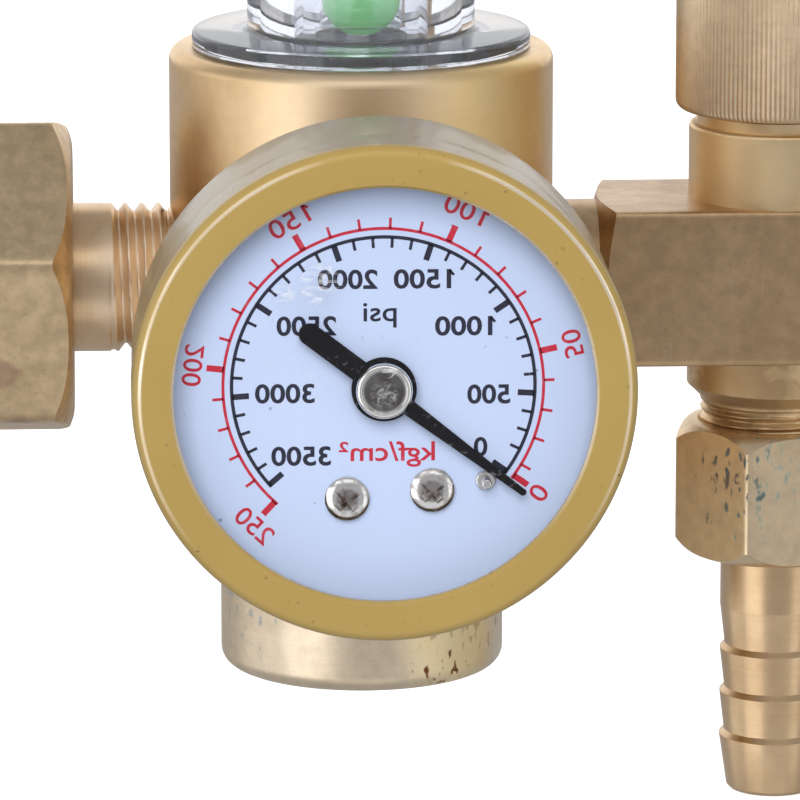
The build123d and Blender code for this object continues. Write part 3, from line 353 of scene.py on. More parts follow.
def surface(name, grid, finish, rides, replaced=(), ends="pole", crease=32.0):
    """Piece from grids of points in millimetres, each rows by columns. Columns meet round the piece. Rows end in a
    pole, meet as a ring, or are capped."""
    stack = grid[None] if grid.ndim == 3 else grid
    index = np.arange(stack[..., 0].size).reshape(stack.shape[:3])
    near = index if ends == "ring" else index[:, :-1]
    far = np.roll(index, -1, axis=1) if ends == "ring" else index[:, 1:]
    faces = np.stack([near, np.roll(near, -1, axis=2), np.roll(far, -1, axis=2), far], axis=-1).reshape(-1, 4)
    faces = faces.tolist()
    if ends == "capped":
        faces += index[:, 0].tolist() + index[:, -1].tolist()
    mesh = bpy.data.meshes.new(name)
    mesh.from_pydata(stack.reshape(-1, 3) / 1000, [], faces)
    return finished(name, mesh, finish, rides, replaced, crease)


upright = spine((0, 0, 0), (0, 0, 1), (1, 0, 0))
# The pale soft patch on the cap's front right is painted light; the bluish, olive and rusty spots are stains.
cap_brass = brass("cap_brass", tone(238, 221, 195), tone(208, 188, 158), (25.0, 25.0, 4600.0), roughness=0.36,
                  grain=0.5,
                  stains_and_painted_light=[((0.0085, -0.0104, -0.0320), 0.0070, tone(252, 232, 182), 0.7, "soft"),
                          ((-0.0115, -0.0070, -0.0295), 0.0065, tone(150, 168, 172), 0.6, "broken"),
                          ((0.0090, -0.0100, -0.0310), 0.0075, tone(160, 140, 96), 0.5, "broken"),
                          ((0.0062, -0.0110, -0.0364), 0.0034, tone(128, 66, 30), 0.9, "broken")])
cap_outline = rounded((0, -33.0), (9.6, -33.0), (9.6, -14.3, 0.3), (12.0, -14.3, 0.4), (12.0, -22.5),
                      (13.4, -22.5, 0.25), (13.4, -37.4, 1.6), (0, -37.4), steps=10)
surface("cap_cup", turned(cap_outline, upright, 224), cap_brass, "regulator", ["bottom_cap"])

fibre = Finish("fibre", roughness=0.85)
fibre.drive("Base Color", fibre.blend(fibre.noise(900.0, detail=4.0), tone(126, 58, 38), tone(88, 40, 28)))
fibre.relief(fibre.noise(2500.0), 2e-5)
dress(fibre, "cap_gasket")

# Inlet tube: a brass nipple turned from bar, screwed into the body's left side with a fine thread.
# A round nose on its far end seals in the cylinder valve, with a sintered bronze filter in its mouth.
leftward = spine((0, 0, 0), (-1, 0, 0), (0, -1, 0))


def screw_rows(crest, start, end, pitch, depth, columns, step, lead=0.0):
    """Across and along of a right-hand screw thread: the radius drops from its crest by depth times a rounded saw of
    (along / pitch - angle / full turn + lead), which fades out over half a pitch at both ends."""
    along = np.arange(start, end + step / 2, step)[:, None] * np.ones(columns)
    phase = along / pitch - np.arange(columns) / columns + lead
    saw = np.clip(1.3 * np.abs(2 * (phase % 1) - 1) - 0.15, 0, 1)
    fade = np.clip(np.minimum(along - start, end - along) / (pitch / 2), 0, 1)
    return crest - depth * saw * fade, along


def stacked(columns, *parts):
    """Across and along of rows put one after another: an outline's rows are the same in every column."""
    full = []
    for part in parts:
        pair = (part[:, :1], part[:, 1:]) if isinstance(part, np.ndarray) else part
        full.append([np.broadcast_to(side, (len(side), columns)) for side in pair])
    return [np.concatenate([pair[which] for pair in full]) for which in (0, 1)]


tube_columns = 176
nose_r = 9.7
nose_angles = np.radians(np.linspace(6.1, 55.9, 18))
nose = np.stack([0.054 + nose_r * np.cos(nose_angles), 62.365 + nose_r * np.sin(nose_angles)], axis=1)
tube_mouth = np.array([(3.0, 70.39), (3.0, 62.1), (2.0, 62.1), (2.0, 10.3)])
tube_rows = stacked(tube_columns, np.array([(7.0, 10.3), (7.0, 16.0)]),
                    screw_rows(7.0, 16.4, 23.7, 1.55, 0.75, tube_columns, 0.1, lead=0.45),
                    rounded((7.0, 24.0), (7.0, 60.4, 0.4), (9.7, 60.4, 0.3), (9.7, 63.4)), nose, tube_mouth)
# The pale soft patch on the tube's front beside the body is painted light.
inlet_brass = brass("inlet_brass", tone(228, 198, 160), tone(204, 170, 130), (4800.0, 30.0, 30.0), roughness=0.28,
                    stains_and_painted_light=[((-0.0198, -0.0055, 0.0010), 0.0068, tone(252, 230, 202), 0.9, "soft")])
surface("inlet_tube", carried(*tube_rows, leftward, tube_columns), inlet_brass, "regulator",
        ["inlet_nipple"], ends="ring")

sintered = Finish("sintered_bronze", metallic=1.0, roughness=0.55)
balls = sintered.node("ShaderNodeTexVoronoi", None, {"Vector": sintered.place, "Scale": 3200.0}, out="Distance")
sintered.drive("Base Color", sintered.blend(balls, tone(206, 150, 96), tone(92, 58, 34)))
sintered.relief(1.0 - balls, 1e-4)
dress(sintered, "inlet_filter")

# Inlet nut: a loose hexagon nut forged from brass, its flats left grainy by the draw and its ends turned.
# It runs on the inlet tube and screws into the cylinder valve with a pipe thread on its far end.
nut_columns = 360


def flats(width, corner_turn, columns, power):
    """Radius of a hexagon with slightly round corners, by angle: half the width over the power mean of the cosines
    of the angles to its six flats."""
    t = np.arange(columns) * 2 * np.pi / columns
    facing = np.cos(t[:, None] - np.radians(corner_turn + 30 + 60 * np.arange(6)))
    return width / 2 / (np.clip(facing, 0, None) ** power).sum(axis=1) ** (1 / power)


def hexagon_rows(width, corner_turn, face_r, low, high, bow, columns, power=46.0):
    """Rows of a hexagon between two turned shoulders: a shoulder leaves its end's flat face at the face radius, falls
    away as along = end + bow * (radius - face radius) squared, and meets the flats along curves."""
    radius = flats(width, corner_turn, columns, power)
    part = np.linspace(0, 1, 7)[:, None]
    shoulder = face_r + part * (radius - face_r)
    drop = bow * (shoulder - face_r) ** 2
    spread = np.linspace(0, 1, 9)[1:-1, None]
    along = (low + drop[-1]) * (1 - spread) + (high - drop[-1]) * spread
    return (np.concatenate([shoulder, np.ones((7, 1)) * radius, shoulder[::-1]]),
            np.concatenate([low + drop, along, high - drop[::-1]]))


nut_rows = stacked(nut_columns, rounded((7.35, 59.9), (7.35, 27.4), (7.75, 27.1)),
                   hexagon_rows(28.0, 15.4, 12.1, 27.1, 43.1, 0.128, nut_columns),
                   np.array([(10.75, 43.1), (10.75, 45.6)]),
                   screw_rows(12.25, 46.2, 59.4, 1.814, 1.1, nut_columns, 0.17),
                   np.array([(12.0, 59.6), (11.0, 60.1), (7.6, 60.1)]))
nut_brass = brass("nut_brass", tone(226, 200, 162), tone(200, 174, 134), (60.0, 700.0, 700.0), lay_depth=1.2e-5,
                  roughness=0.36, grain=1.0, scuffs=0.6,
                  stains_and_painted_light=[((-0.0335, -0.0130, -0.0065), 0.0016, tone(150, 112, 104), 0.45, "blot"),
                          ((-0.0320, -0.0105, -0.0125), 0.0022, tone(158, 122, 112), 0.4, "blot")])
surface("inlet_hexagon", carried(*nut_rows, leftward, nut_columns), nut_brass, "inlet_nut",
        ["inlet_nut"], ends="ring", crease=24.0)

# Gauge: a drawn steel cup and a wide steel ring, both under glossy mustard-gold paint, on a square brass stem.
# The ring screws over the cup and holds the window; its outer corner is round and catches the light.
frontward = spine((0, 0, 0), (0, -1, 0), (1, 0, 0))
gold = Finish("gold_paint", coat_weight=0.25, coat_roughness=0.1, specular_ior_level=0.4)
flow = gold.noise(70.0, detail=3.0)
dust = (gold.noise(1500.0, detail=2.0, shift=4.0) * 9.0 - 6.3).held()
from_axis = (gold.place * (1.0, 0.0, 1.0)).distance((0.0, 0.0, 0.0)) * 1000
ahead = gold.along(1) * -1000
# A pale bare-metal band along the ring's outer and inner front corners, kept to the two sides and fading out towards
# the bottom: partly worn paint, partly a painted highlight where the lamps catch the corner.
worn_edge_and_highlight = ((0.2 - abs(from_axis - 21.28)) * 9.0).held() + ((18.62 - from_axis) * 9.0).held()
worn_edge_and_highlight = (worn_edge_and_highlight * ((ahead - 53.3) * 8.0).held() * (flow * 3.0 - 0.6)).held()
worn_edge_and_highlight = worn_edge_and_highlight * (gold.along(2) * 60.0 + 0.8).held() * ((abs(gold.along(0)) - 0.005) * 160.0).held()
gold_tone = gold.blend((flow * 1.6 - 0.3).held(), tone(182, 153, 85), tone(173, 143, 75))
gold_tone = gold.blend(dust * 0.8, gold_tone, tone(112, 88, 52))
# The paint set back from the ring's front face, on the ring's side and the cup, is blended towards a greyer brown:
# painted reflection and shade for how the side looks at a grazing angle.
gold_tone = gold.blend(((52.9 - ahead) * 2.0).held() * 0.55, gold_tone, tone(132, 116, 98))
gold.drive("Base Color", gold.blend(worn_edge_and_highlight, gold_tone, tone(255, 238, 212)))
gold.drive("Metallic", worn_edge_and_highlight * 0.9)
gold.drive("Roughness", 0.3 + flow * 0.08 + dust * 0.3 - worn_edge_and_highlight * 0.1)
brushed = gold.noise(1.0, (90.0, 4200.0, 90.0), 3.0)
gold.relief(gold.noise(520.0, detail=1.0) + dust * 0.5 + brushed * 7.0, 9e-6)
cup_outline = rounded((5.55, 39.5), (5.55, 37.2), (21.9, 37.2, 0.8), (21.9, 47.3, 0.15), (21.1, 47.4), (21.1, 51.2),
                      (20.3, 51.2), (20.3, 39.5), steps=9)
surface("gauge_cup", turned(cup_outline, frontward, 256), gold, "regulator", ["gauge_case"], ends="ring")
ring_outline = rounded((21.15, 47.4), (22.0, 47.4, 0.25), (22.0, 53.8, 1.0), (18.6, 53.8, 0.12), (18.36, 53.56),
                       (18.36, 53.0), (20.55, 53.0), (20.55, 51.2), (21.15, 51.2), steps=9)
surface("gauge_ring", turned(ring_outline, frontward, 288), gold, "regulator", ["gauge_bezel"],
        ends="ring")
stem_brass = brass("stem_brass", tone(230, 198, 152), tone(200, 168, 122), (500.0, 60.0, 500.0), roughness=0.3)
dress(stem_brass, "gauge_stem")

copper = Finish("copper", metallic=1.0, roughness=0.34)
copper.drive("Base Color", copper.blend(copper.noise(700.0), tone(214, 138, 104), tone(150, 84, 60)))
dress(copper, "gauge_washer")

rubber = Finish("rubber", roughness=0.62)
rubber.drive("Base Color", rubber.blend(rubber.noise(1400.0, detail=3.0), tone(26, 26, 27), tone(44, 43, 42)))
dress(rubber, "lens_gasket")

# Dial: enamelled bluish-white plate with a black pressure scale inside a red one, printed after drilling.
# The plate faces the other way round from the usual one, so every word and number on it runs from right to left.
enamel = Finish("dial_enamel", specular_ior_level=0.4)
wash = (enamel.noise(26.0, detail=2.0) * 1.8 - 0.4).held()
fluff = (enamel.noise(1300.0, detail=2.0, shift=2.0) * 12.0 - 8.9).held()
hairs = lines(enamel, 60.0, (3.0, 1.0, 11.0), 0.003) * (enamel.noise(140.0, shift=6.0) * 6.0 - 3.7).held()
plate_tone = enamel.blend(wash, tone(206, 221, 252), tone(198, 213, 244))
enamel.drive("Base Color", enamel.blend((fluff * 0.7 + hairs * 0.35).held(), plate_tone, tone(104, 112, 128)))
enamel.drive("Roughness", 0.42 + wash * 0.08)
dress(enamel, "gauge_dial")

print_back, print_front = 49.36, 49.43
print_layers = np.array([print_back, print_back, print_front, print_front])
across_strip = np.array([-0.5, 0.5, 0.5, -0.5])
black_ink = Finish("black_ink", roughness=0.45)
worn = (black_ink.noise(1500.0, detail=3.0) * 8.0 - 5.4).held()
black_ink.drive("Base Color", black_ink.blend(worn * 0.7, tone(38, 38, 56), tone(110, 118, 140)))
red_ink = Finish("red_ink", roughness=0.45)
faded = (red_ink.noise(1300.0, detail=3.0) * 5.0 - 2.8).held()
red_ink.drive("Base Color", red_ink.blend(faded * 0.5, tone(200, 40, 62), tone(216, 110, 128)))


def on_dial(across, up, depth):
    """Points in front of the body axis from dial coordinates: across is X, up is Z, depth is -Y."""
    return np.stack(np.broadcast_arrays(across, -np.asarray(depth, float), up), axis=-1)


def printed_arc(name, ink, radius, width, start, end):
    """Thin raised strip that follows a circle from one angle to another."""
    t = np.radians(np.linspace(start, end, 181))[:, None]
    r = radius + width * across_strip
    surface(name, on_dial(r * np.cos(t), r * np.sin(t), print_layers), ink, "regulator", ends="capped")


def printed_marks(name, ink, angles, inner, outer, width):
    """Thin raised bars that point at the dial's middle, one at each angle: radius and half width give the corners."""
    t = np.radians(np.asarray(angles, float))[:, None, None]
    r = np.array([inner, outer])[None, :, None]
    half = width * across_strip
    surface(name, on_dial(r * np.cos(t) - half * np.sin(t), r * np.sin(t) + half * np.cos(t), print_layers), ink,
            "regulator", ends="capped")


def psi_angle(value):
    """Degrees from +X at which the black scale has a value: even steps of 0.0748 degrees about the mark of 500."""
    return -3.2 + 0.0748 * (np.asarray(value, float) - 500)


def kgf_angle(value):
    """Degrees from +X at which the red scale has a value: even steps of 1.074 degrees about the mark of 50."""
    return 12.4 + 1.074 * (np.asarray(value, float) - 50)


black_zero, red_zero = -35.6, -35.4
printed_arc("psi_arc", black_ink, 13.24, 0.30, black_zero - 1.1, psi_angle(3500) + 1.1)
printed_arc("kgf_arc", red_ink, 13.99, 0.26, red_zero - 1.3, kgf_angle(250) + 1.3)
small_psi = [v for v in range(200, 3500, 100) if v % 500]
small_kgf = [v for v in range(10, 250, 10) if v % 50]
black_rim, red_rim = 13.2, 14.0
printed_marks("psi_small_marks", black_ink, psi_angle(small_psi), 12.30, black_rim, 0.26)
printed_marks("psi_large_marks", black_ink, [black_zero, *psi_angle(range(500, 3501, 500))], 11.75, black_rim, 0.52)
printed_marks("kgf_small_marks", red_ink, kgf_angle(small_kgf), red_rim, 14.95, 0.24)
printed_marks("kgf_large_marks", red_ink, [red_zero, *kgf_angle(range(50, 251, 50))], red_rim, 15.5, 0.55)


def lettering(name, ink, words, middle, width, height, lean=0.0, bold=0.0):
    """Words as thin raised letters of a given width and height about a point of the dial. They run from right to left
    and lean by an angle: across = -(cos lean * x + sin lean * y) in the letters' own x and y. A leading figure 1 gets
    the short flag that the font leaves out."""
    script = bpy.data.curves.new(name, "FONT")
    script.body = words
    script.extrude = 0.5
    script.offset = bold
    script.resolution_u = 4
    source = bpy.data.objects.new(name + "_script", script)
    scene.collection.objects.link(source)
    bpy.context.view_layer.update()
    mesh = bpy.data.meshes.new_from_object(source)
    bpy.data.objects.remove(source)
    mesh.name = name
    flat = np.empty(len(mesh.vertices) * 3, np.float32)
    mesh.vertices.foreach_get("co", flat)
    flat = flat.reshape(-1, 3).astype(float)
    low, high = flat.min(axis=0), flat.max(axis=0)
    own = (flat - (low + high) / 2) / (high - low) * (width, height, 1.0)
    lean = radians(lean)

    def placed(x, y, depth):
        """Points of the dial from the letters' own x and y."""
        return on_dial(middle[0] - cos(lean) * x - sin(lean) * y, middle[1] - sin(lean) * x + cos(lean) * y, depth)

    depth = (print_back + print_front) / 2 + own[:, 2] * (print_front - print_back)
    spots = placed(own[:, 0], own[:, 1], depth) / 1000
    mesh.vertices.foreach_set("co", spots.astype(np.float32).ravel())
    finished(name, mesh, ink, "regulator")
    if words.startswith("1"):
        corner = np.array([-width / 2, height / 2])
        ends = corner + [(0.14, -0.12), (-0.24, -0.54)]
        aside = 0.24 * np.array([-0.74, 0.67])
        x, y = (ends[:, None] + aside * across_strip[:, None]).transpose(2, 0, 1)
        surface(name + "_flag", placed(x, y, print_layers), ink, "regulator", ends="capped")


for words, middle, wide in [("0", (8.5, -5.5), 1.2), ("500", (9.2, -0.8), 3.75), ("1000", (7.0, 5.3), 5.0),
                            ("1500", (3.4, 9.5), 5.0), ("2000", (-3.1, 9.5), 5.2), ("2500", (-6.7, 5.4), 5.2),
                            ("3000", (-8.6, -0.6), 5.2), ("3500", (-7.2, -6.2), 5.2)]:
    lettering("psi_number_" + words, black_ink, words, middle, wide, 1.75, bold=0.022)
lettering("psi_word", black_ink, "psi", (-0.3, 6.3), 2.9, 2.2, bold=0.008)
lettering("kgf_word", red_ink, "kgf/cm²", (0.3, -6.1), 8.4, 2.3, bold=0.01)
for words, middle, wide, lean in [("0", (13.6, -9.7), 1.25, 54.5), ("50", (16.5, 3.65), 2.45, -77.6),
                                  ("100", (7.1, 15.6), 3.7, -24.0), ("150", (-8.2, 14.6), 3.7, 29.8),
                                  ("200", (-16.6, 2.0), 3.7, 83.5), ("250", (-11.3, -12.4), 3.7, -43.0)]:
    lettering("kgf_number_" + words, red_ink, words, middle, wide, 1.7, lean, bold=0.006)

# Dial screws and stop pin: two bright nickel-plated pan heads with stained cross recesses, and a small steel pin.
# The screws go through the dial into bosses of the movement, and the pin stops the pointer below zero.
bright = Finish("bright_plate", metallic=1.0)
screw_places = [(-3.2, -9.95), (4.25, -9.25)]
stain = (bright.noise(900.0, detail=4.0, warp=0.8) * 5.0 - 2.5).held()
sockets = 0.0
for x, z in screw_places:
    sockets = sockets + ((0.0011 - bright.place.distance((x / 1000, -0.0502, z / 1000))) * 4000.0).held()
plate = bright.blend(stain * 0.6, tone(230, 228, 226), tone(150, 132, 118))
bright.drive("Base Color", bright.blend(sockets * (0.5 + stain * 0.45), plate, tone(100, 74, 60)))
bright.drive("Roughness", 0.16 + stain * 0.25)
bright.relief(bright.noise(2600.0, detail=2.0), 1.2e-5)

screw_columns, head_r = 120, 1.95
from_cross = np.arange(screw_columns) * 2 * np.pi / screw_columns - radians(40)
screw_r = np.linspace(0, head_r, 46)[:, None]
x_cut, y_cut = np.abs(screw_r * np.cos(from_cross)), np.abs(screw_r * np.sin(from_cross))
slot_depth = 0.6 * np.clip((0.34 - np.minimum(x_cut, y_cut)) / 0.1, 0, 1)
slot_depth = slot_depth * np.clip((1.15 - np.maximum(x_cut, y_cut)) / 0.12, 0, 1)
dome = 50.4 - 0.42 * (screw_r / head_r) ** 4 - slot_depth
skirt = np.array([(head_r, 49.4), (0.6, 49.4), (0.6, 46.8), (0.0, 46.8)])
screw_across, screw_along = stacked(screw_columns, (np.broadcast_to(screw_r, dome.shape), dome), skirt)
heads = [carried(screw_across, screw_along, spine((x, 0, z), (0, -1, 0), (1, 0, 0)), screw_columns)
         for x, z in screw_places]
surface("pan_head_screws", np.stack(heads), bright, "regulator", ["dial_screws"], crease=40.0)

pin_r, pin_angle = 12.3, radians(-43.4)
pin_line = spine((pin_r * cos(pin_angle), 0, pin_r * sin(pin_angle)), (0, -1, 0), (1, 0, 0))
pin_outline = rounded((0, 49.0), (0.45, 49.0), (0.45, 49.4), (0.9, 49.4), (0.9, 49.9, 0.2), (0.45, 49.9),
                      (0.45, 51.4, 0.2), (0, 51.4))
surface("stop_peg", turned(pin_outline, pin_line, 48), bright, "regulator", ["stop_pin"])

# Pointer: stamped from thin sheet and painted matt black, with a rounded tail, riveted under a bright cap.
# It is dusty, with a few pale flecks in the paint.
soot = Finish("pointer_black", specular_ior_level=0.2)
lint = (soot.noise(1900.0, detail=3.0) * 9.0 - 5.7).held()
soot.drive("Base Color", soot.blend(lint * 0.6, tone(24, 23, 27), tone(122, 122, 128)))
soot.drive("Roughness", 0.5 + lint * 0.2)
soot.relief(soot.noise(1500.0, detail=2.0), 2e-5)
tail_end, tail_r, tip_end = -9.1, 0.97, 15.6
run = np.concatenate([tail_end + 0.95 * (1 - np.cos(np.linspace(0, np.pi / 2, 12))), np.linspace(-8.0, 15.2, 60),
                      tip_end - 0.4 * (1 - np.sin(np.linspace(0.1, np.pi / 2, 8)))])
run.sort()
half_width = np.where(run < 0, tail_r, np.interp(run, [0, 15.1], [0.80, 0.30]))
past_tail = run - (tail_end + tail_r)
half_width = np.minimum(half_width, np.sqrt(np.clip(tail_r ** 2 - past_tail ** 2, 0, None) + (past_tail > 0) * 9.0))
half_width = np.minimum(half_width, np.sqrt(np.clip((tip_end - run) * 0.6, 0, None)) + 1e-4)
rim = np.arange(28) * 2 * np.pi / 28


def squared(wave):
    """A wave between -1 and 1 made squarer: its size to the power of 0.45, with its sign kept."""
    return np.sign(wave) * np.abs(wave) ** 0.45


needle_side = half_width[:, None] * squared(np.cos(rim))
needle_depth = 50.76 + 0.14 * squared(np.sin(rim)) * np.ones((len(run), 1))
way = radians(-37.5)
needle_grid = on_dial(run[:, None] * cos(way) - needle_side * sin(way),
                      run[:, None] * sin(way) + needle_side * cos(way), needle_depth)
surface("needle_blade", needle_grid, soot, "pointer", ["pointer"], ends="capped", crease=50.0)
disc_outline = rounded((0, 50.6), (2.85, 50.6, 0.08), (2.85, 50.9, 0.1), (0, 50.9), steps=4)
surface("needle_disc", turned(disc_outline, frontward, 96), soot, "pointer")

cap_plate = Finish("hub_plate", metallic=1.0)
flat_place = cap_plate.place * (1.0, 0.0, 1.0)
from_middle = flat_place.distance((0.0, 0.0, 0.0)) * 1000
inside_rim = ((1.95 - from_middle) * 4.0).held()
bloom = (cap_plate.noise(520.0, detail=4.0, warp=0.8) * 4.0 - 1.7).held()
spatter = (cap_plate.noise(1900.0, detail=5.0, warp=1.2) * 5.0 - 2.3).held()
chalk = ((1.0 - flat_place.distance((0.0, 0.0, -0.0003)) / 0.0014) * 2.2).held() * spatter
hub_tone = cap_plate.blend(inside_rim * (0.8 + bloom * 0.2), tone(238, 236, 232), tone(92, 86, 88))
cap_plate.drive("Base Color", cap_plate.blend(chalk * inside_rim * 0.9, hub_tone, tone(236, 234, 230)))
cap_plate.drive("Roughness", 0.12 + inside_rim * bloom * 0.3)
cap_plate.relief(cap_plate.noise(1800.0, detail=3.0) * inside_rim, 3e-5)
hub_outline = rounded((0, 50.15), (0.88, 50.15), (0.88, 50.9), (2.475, 50.9, 0.1), (2.475, 51.9, 0.4),
                      (1.98, 51.9, 0.08), (1.9, 51.7), (0, 51.76), steps=8)
surface("hub_cap", turned(hub_outline, frontward, 128), cap_plate, "pointer", ["pointer_hub"])

# Window: a thin clear disc held under the painted ring.
# It is lightly scratched, with chalky scuffs beside the number 2000 and a small one above the pointer's cap.
window = Finish("window", roughness=0.04)
nicks = (lines(window, 38.0, (4.0, 1.0, 12.0), 0.004, turned_by=0.8)
         + lines(window, 55.0, (11.0, 1.0, 3.0), 0.003, shift=5.0)).held()
nicks = nicks * (window.noise(70.0, shift=3.0) * 5.0 - 2.9).held()
smudge = 0.0
for x, z, reach in [(-0.0056, 0.0098, 0.0022), (-0.0088, 0.0089, 0.0012), (0.0004, 0.0021, 0.0008)]:
    smudge = smudge + ((1.0 - window.place.distance((x, -0.0530, z)) / reach) * 2.0).held()
streaks = lines(window, 90.0, (5.0, 1.0, 13.0), 0.05, shift=2.0, turned_by=0.5) * window.noise(1500.0, detail=3.0)
marks = (nicks * 0.5 + smudge * (streaks * 0.9 + 0.04)).held()
window.drive("Base Color", window.blend((marks * 8.0).held(), (0.02, 0.02, 0.02), (0.9, 0.9, 0.88)))
window.drive("Alpha", 0.012 + marks)
dress(window, "gauge_lens")

# Flow tube: one clear acrylic moulding, its flange held down on the body and its thick tube closed at the top.
# A tapered glass tube stands in it, with a glossy green ball resting in its foot.
acrylic = Finish("clear_acrylic", transmission_weight=0.93, ior=1.49)
acrylic.drive("Base Color", tone(230, 233, 240))
haze = acrylic.noise(300.0, detail=3.0)
acrylic.drive("Roughness", (haze * 0.12 - 0.05).held())
cover_outline = rounded((0, 93.0), (6.3, 93.0, 0.5), (6.3, 15.0), (12.0, 15.0, 0.3), (12.0, 19.4), (10.15, 19.4),
                        (10.15, 21.6), (12.0, 21.6), (12.0, 22.04), (15.85, 22.04, 0.15), (15.85, 23.6, 0.45),
                        (10.65, 23.6, 0.5), (10.65, 96.0, 2.0), (0, 96.0))
surface("clear_moulding", turned(cover_outline, upright, 256), acrylic, "regulator", ["clear_cover"])
glass = Finish("tube_glass", transmission_weight=1.0, ior=1.47, roughness=0.0)
glass.drive("Base Color", (0.98, 0.995, 0.99))
glass.relief(glass.noise(60.0), 2e-6)
glass_outline = rounded((2.9, 12.8), (5.5, 12.8, 0.2), (5.5, 89.0, 0.3), (4.6, 89.0, 0.2), (3.85, 24.2),
                        (2.9, 24.2, 0.2))
surface("metering_glass", turned(glass_outline, upright, 224), glass, "regulator", ["metering_tube"],
        ends="ring")
dress(rubber, "cover_seal", "tube_seal")

# The ball glows a little: painted light standing in for the light that reaches it through the acrylic and the glass.
green = Finish("ball_green", coat_weight=0.8, coat_roughness=0.03, emission_strength=0.32)
green.drive("Emission Color", tone(110, 230, 116))
swirl = green.noise(260.0, detail=3.0, warp=1.0)
green.drive("Base Color", green.blend((swirl * 1.8 - 0.4).held(), tone(104, 228, 112), tone(144, 242, 150)))
green.drive("Roughness", 0.18 + swirl * 0.1)
lift = np.linspace(0, np.pi, 49)
ball_r, ball_middle = 3.7, 26.7
ball_outline = np.stack([ball_r * np.sin(lift), ball_middle - ball_r * np.cos(lift)], axis=1)
surface("ball", turned(ball_outline, upright, 96), green, "ball", ["ball_float"])

nylon = Finish("nylon", roughness=0.4)
nylon.drive("Base Color", nylon.blend(nylon.noise(300.0), tone(232, 230, 222), tone(214, 210, 200)))
dress(nylon, "ball_stop")

# Outlet arm: a squared brass block milled on four sides and turned to a cone at the body, with an upright barrel.
# The milled flats are grainy and scratched, and the barrel is turned, with a threaded neck for the union nut.
rightward = spine((0, 0, 0), (1, 0, 0), (0, 1, 0))
valve_from_body = 39.4
valve_line = spine((valve_from_body, 0, 0), (0, 0, 1), (1, 0, 0))
arm_columns = 288
arm_t = np.arange(arm_columns) * 2 * np.pi / arm_columns
half_deep, half_high, squareness = 8.8, 7.4, 34.0
arm_r = ((np.abs(np.cos(arm_t)) / half_deep) ** squareness
         + (np.abs(np.sin(arm_t)) / half_high) ** squareness) ** (-1 / squareness)
cone_end = 21.9 + 0.32 * (arm_r - 6.5)
arm_spread = np.linspace(0, 1, 12)[:, None]
arm_end = (np.stack([arm_r - 0.15, 0 * arm_r]), np.full((2, arm_columns), 48.2))
arm_rows = stacked(arm_columns, np.array([(0.0, 10.3), (7.0, 10.3), (7.0, 22.09)]),
                   (np.ones((12, 1)) * arm_r, cone_end * (1 - arm_spread) + 48.05 * arm_spread), arm_end)
arm_brass = brass("arm_brass", tone(206, 174, 136), tone(180, 150, 112), (420.0, 900.0, 900.0), lay_depth=9e-6,
                  roughness=0.33, grain=0.8, scuffs=0.9)
surface("outlet_arm", carried(*arm_rows, rightward, arm_columns), arm_brass, "regulator", ["valve_body"],
        crease=24.0)
# The pale soft patch on the barrel's front above the arm is painted light that evens out a dark band of reflection; the
# blot below the arm darkens the barrel's lower front.
barrel_brass = brass("barrel_brass", tone(238, 210, 166), tone(216, 184, 138), (30.0, 30.0, 4200.0), roughness=0.34,
                     stains_and_painted_light=[((0.0342, -0.0068, 0.0110), 0.0066, tone(255, 228, 182), 0.85, "soft"),
                             ((0.0345, -0.0070, -0.0100), 0.0075, tone(152, 122, 88), 0.6, "blot")])
barrel_columns = 200
barrel_rows = stacked(barrel_columns,
                      rounded((0, 14.4), (8.5, 14.4, 0.4), (8.5, -10.6, 0.3), (7.35, -11.7), (7.2, -12.0)),
                      [side[::-1] for side in screw_rows(7.2, -14.4, -12.1, 1.0, 0.4, barrel_columns, 0.1)],
                      rounded((7.0, -14.6), (7.0, -21.4), (6.2, -22.2), (0, -22.2)))
surface("valve_barrel", carried(*barrel_rows, valve_line, barrel_columns), barrel_brass, "regulator")

# Knob: a brass knob with a straight knurl all round and rounded edges, on a gland ring that closes the barrel.
# Fine cross marks from the knurling wheel show between its ridges.
knob_columns, columns_per_ridge = 1080, 8
knob_outline = rounded((3.05, 26.9), (3.05, 15.7), (9.8, 15.7, 0.9), (9.8, 31.7, 0.8), (4.2, 31.7, 0.3), (4.2, 29.1),
                       (1.6, 29.1), (1.6, 26.9))
ridge = np.abs((np.arange(knob_columns) / columns_per_ridge) % 1 * 2 - 1)
valley = 0.13 * np.clip(1.3 * ridge - 0.1, 0, 1)
knob_across = knob_outline[:, :1] - valley * np.clip((knob_outline[:, :1] - 9.1) / 0.5, 0, 1)
knob_brass = brass("knob_brass", tone(246, 224, 192), tone(230, 204, 170), (250.0, 250.0, 3600.0), lay_depth=2.4e-5,
                   roughness=0.42, grain=0.5, scuffs=0.3)
surface("knurled_knob", carried(knob_across, knob_outline[:, 1:], valve_line, knob_columns), knob_brass, "knob",
        ["flow_knob"], ends="ring", crease=28.0)
dress(barrel_brass, "gland_nut")
dress(bright, "knob_screw")

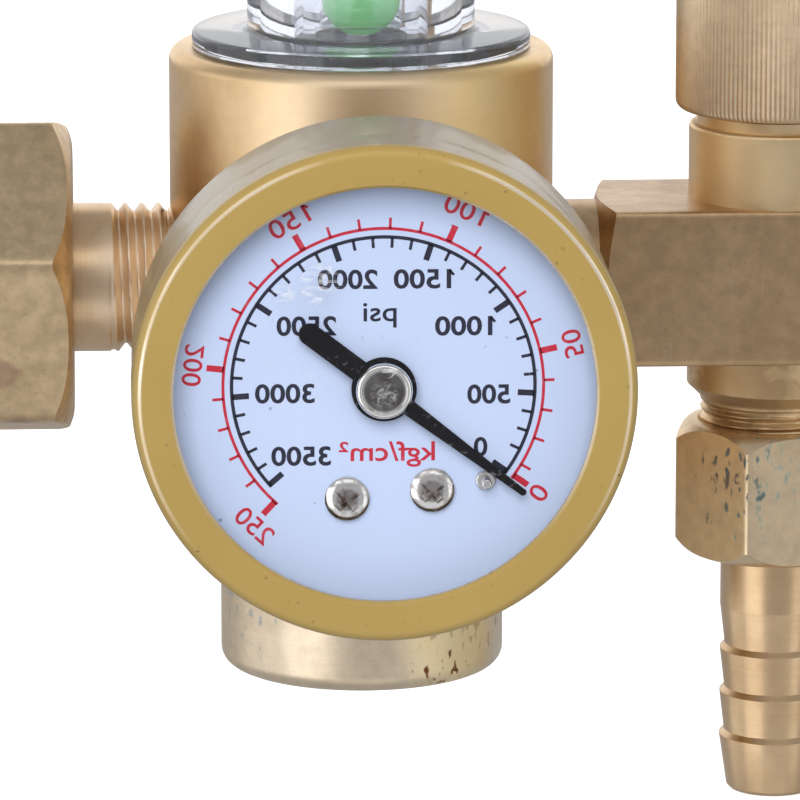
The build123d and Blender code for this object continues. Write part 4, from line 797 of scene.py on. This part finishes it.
# Union nut and hose tail: a brass hexagon nut, tarnished blue-black near one corner, clamps the turned hose tail.
# The tail has three sharp-edged barbs that hold the hose.
union_columns = 360
union_rows = stacked(union_columns,
                     np.array([(7.45, -14.15), (7.05, -14.55), (7.05, -24.5), (5.4, -24.5), (5.4, -27.0)]),
                     hexagon_rows(17.0, 8.8, 7.6, -27.0, -14.15, 0.36, union_columns, power=72.0))
union_brass = brass("union_brass", tone(238, 216, 182), tone(216, 190, 152), (700.0, 700.0, 90.0), lay_depth=9e-6,
                    roughness=0.34, grain=0.7,
                    stains_and_painted_light=[((0.0343, -0.0069, -0.0186), 0.0046, tone(62, 60, 78), 0.75, "broken"),
                            ((0.0358, -0.0091, -0.0180), 0.0040, tone(60, 58, 80), 0.75, "broken"),
                            ((0.0388, -0.0092, -0.0185), 0.0070, tone(156, 178, 166), 0.5, "broken")])
surface("union_hexagon", carried(*union_rows, valve_line, union_columns), union_brass, "regulator",
        ["union_nut"], ends="ring", crease=24.0)
barbs = [corner for low in (-36.1, -40.35, -44.6) for corner in ((4.65, low, 0.1), (5.1, low - 0.5, 0.12))]
tail_outline = rounded((2.5, -22.8), (6.7, -22.8), (6.7, -24.5), (5.3, -24.5), (5.3, -27.3), (5.1, -27.3),
                       (5.1, -32.3, 0.6), *barbs, (4.35, -50.1, 0.2), (4.05, -50.4), (2.5, -50.4, 0.2))
tail_brass = brass("tail_brass", tone(222, 194, 156), tone(198, 164, 124), (35.0, 35.0, 4200.0), roughness=0.3)
surface("hose_tail", turned(tail_outline, valve_line, 176), tail_brass, "regulator", ["hose_barb"],
        ends="ring")

# Inner works: everything that the case, body and barrel hide keeps its CAD shape.
# Each piece gets the finish of the stock that it is made from: brass, bronze, steel, nylon or rubber.
inner_brass = brass("inner_brass", tone(238, 204, 150), tone(208, 166, 108), (900.0, 900.0, 900.0), roughness=0.24,
                    scuffs=0.2)
dress(inner_brass, "seat_nozzle", "piston", "needle_stem", "sector_gear", "pinion", "end_link", "back_plate",
      "front_plate", "plate_pillars", "tube_tip")
phosphor = Finish("phosphor_bronze", metallic=1.0, roughness=0.26)
phosphor.drive("Base Color", phosphor.blend(phosphor.noise(420.0, detail=3.0), tone(222, 158, 104), tone(176, 116, 70)))
dress(phosphor, "bourdon_tube", "hairspring")
spring_steel = Finish("spring_steel", metallic=1.0, roughness=0.32)
spring_steel.drive("Base Color", spring_steel.blend(spring_steel.noise(800.0, detail=3.0), tone(178, 180, 184),
                                                    tone(120, 122, 128)))
dress(spring_steel, "regulating_spring")
dress(nylon, "seat_pad", "outlet_washer")
dress(rubber, "piston_seal", "stem_seal", "needle_seal")

# Floor: a wide plain pale sheet under the hose tail.
# The metal doesn't mirror it, as nothing lay there in the photo.
floor_reach, floor_gap = 12, 0.0003
floor_mesh = bpy.data.meshes.new("floor")
floor_mesh.from_pydata([(x * floor_reach, y * floor_reach, cad_box[0][2] - floor_gap)
                        for x, y in [(-1, -1), (1, -1), (1, 1), (-1, 1)]], [], [(0, 1, 2, 3)])
floor = bpy.data.objects.new("floor", floor_mesh)
scene.collection.objects.link(floor)
floor.visible_glossy = False
floor.visible_diffuse = False
floor.visible_shadow = False
paper = Finish("pale_paper", roughness=0.9, emission_strength=0.8)
paper.drive("Emission Color", (1.0, 1.0, 1.0))
paper.drive("Base Color", paper.blend(paper.noise(3.0), (0.86, 0.86, 0.87), (0.84, 0.84, 0.85)))
floor_mesh.materials.append(paper.material)
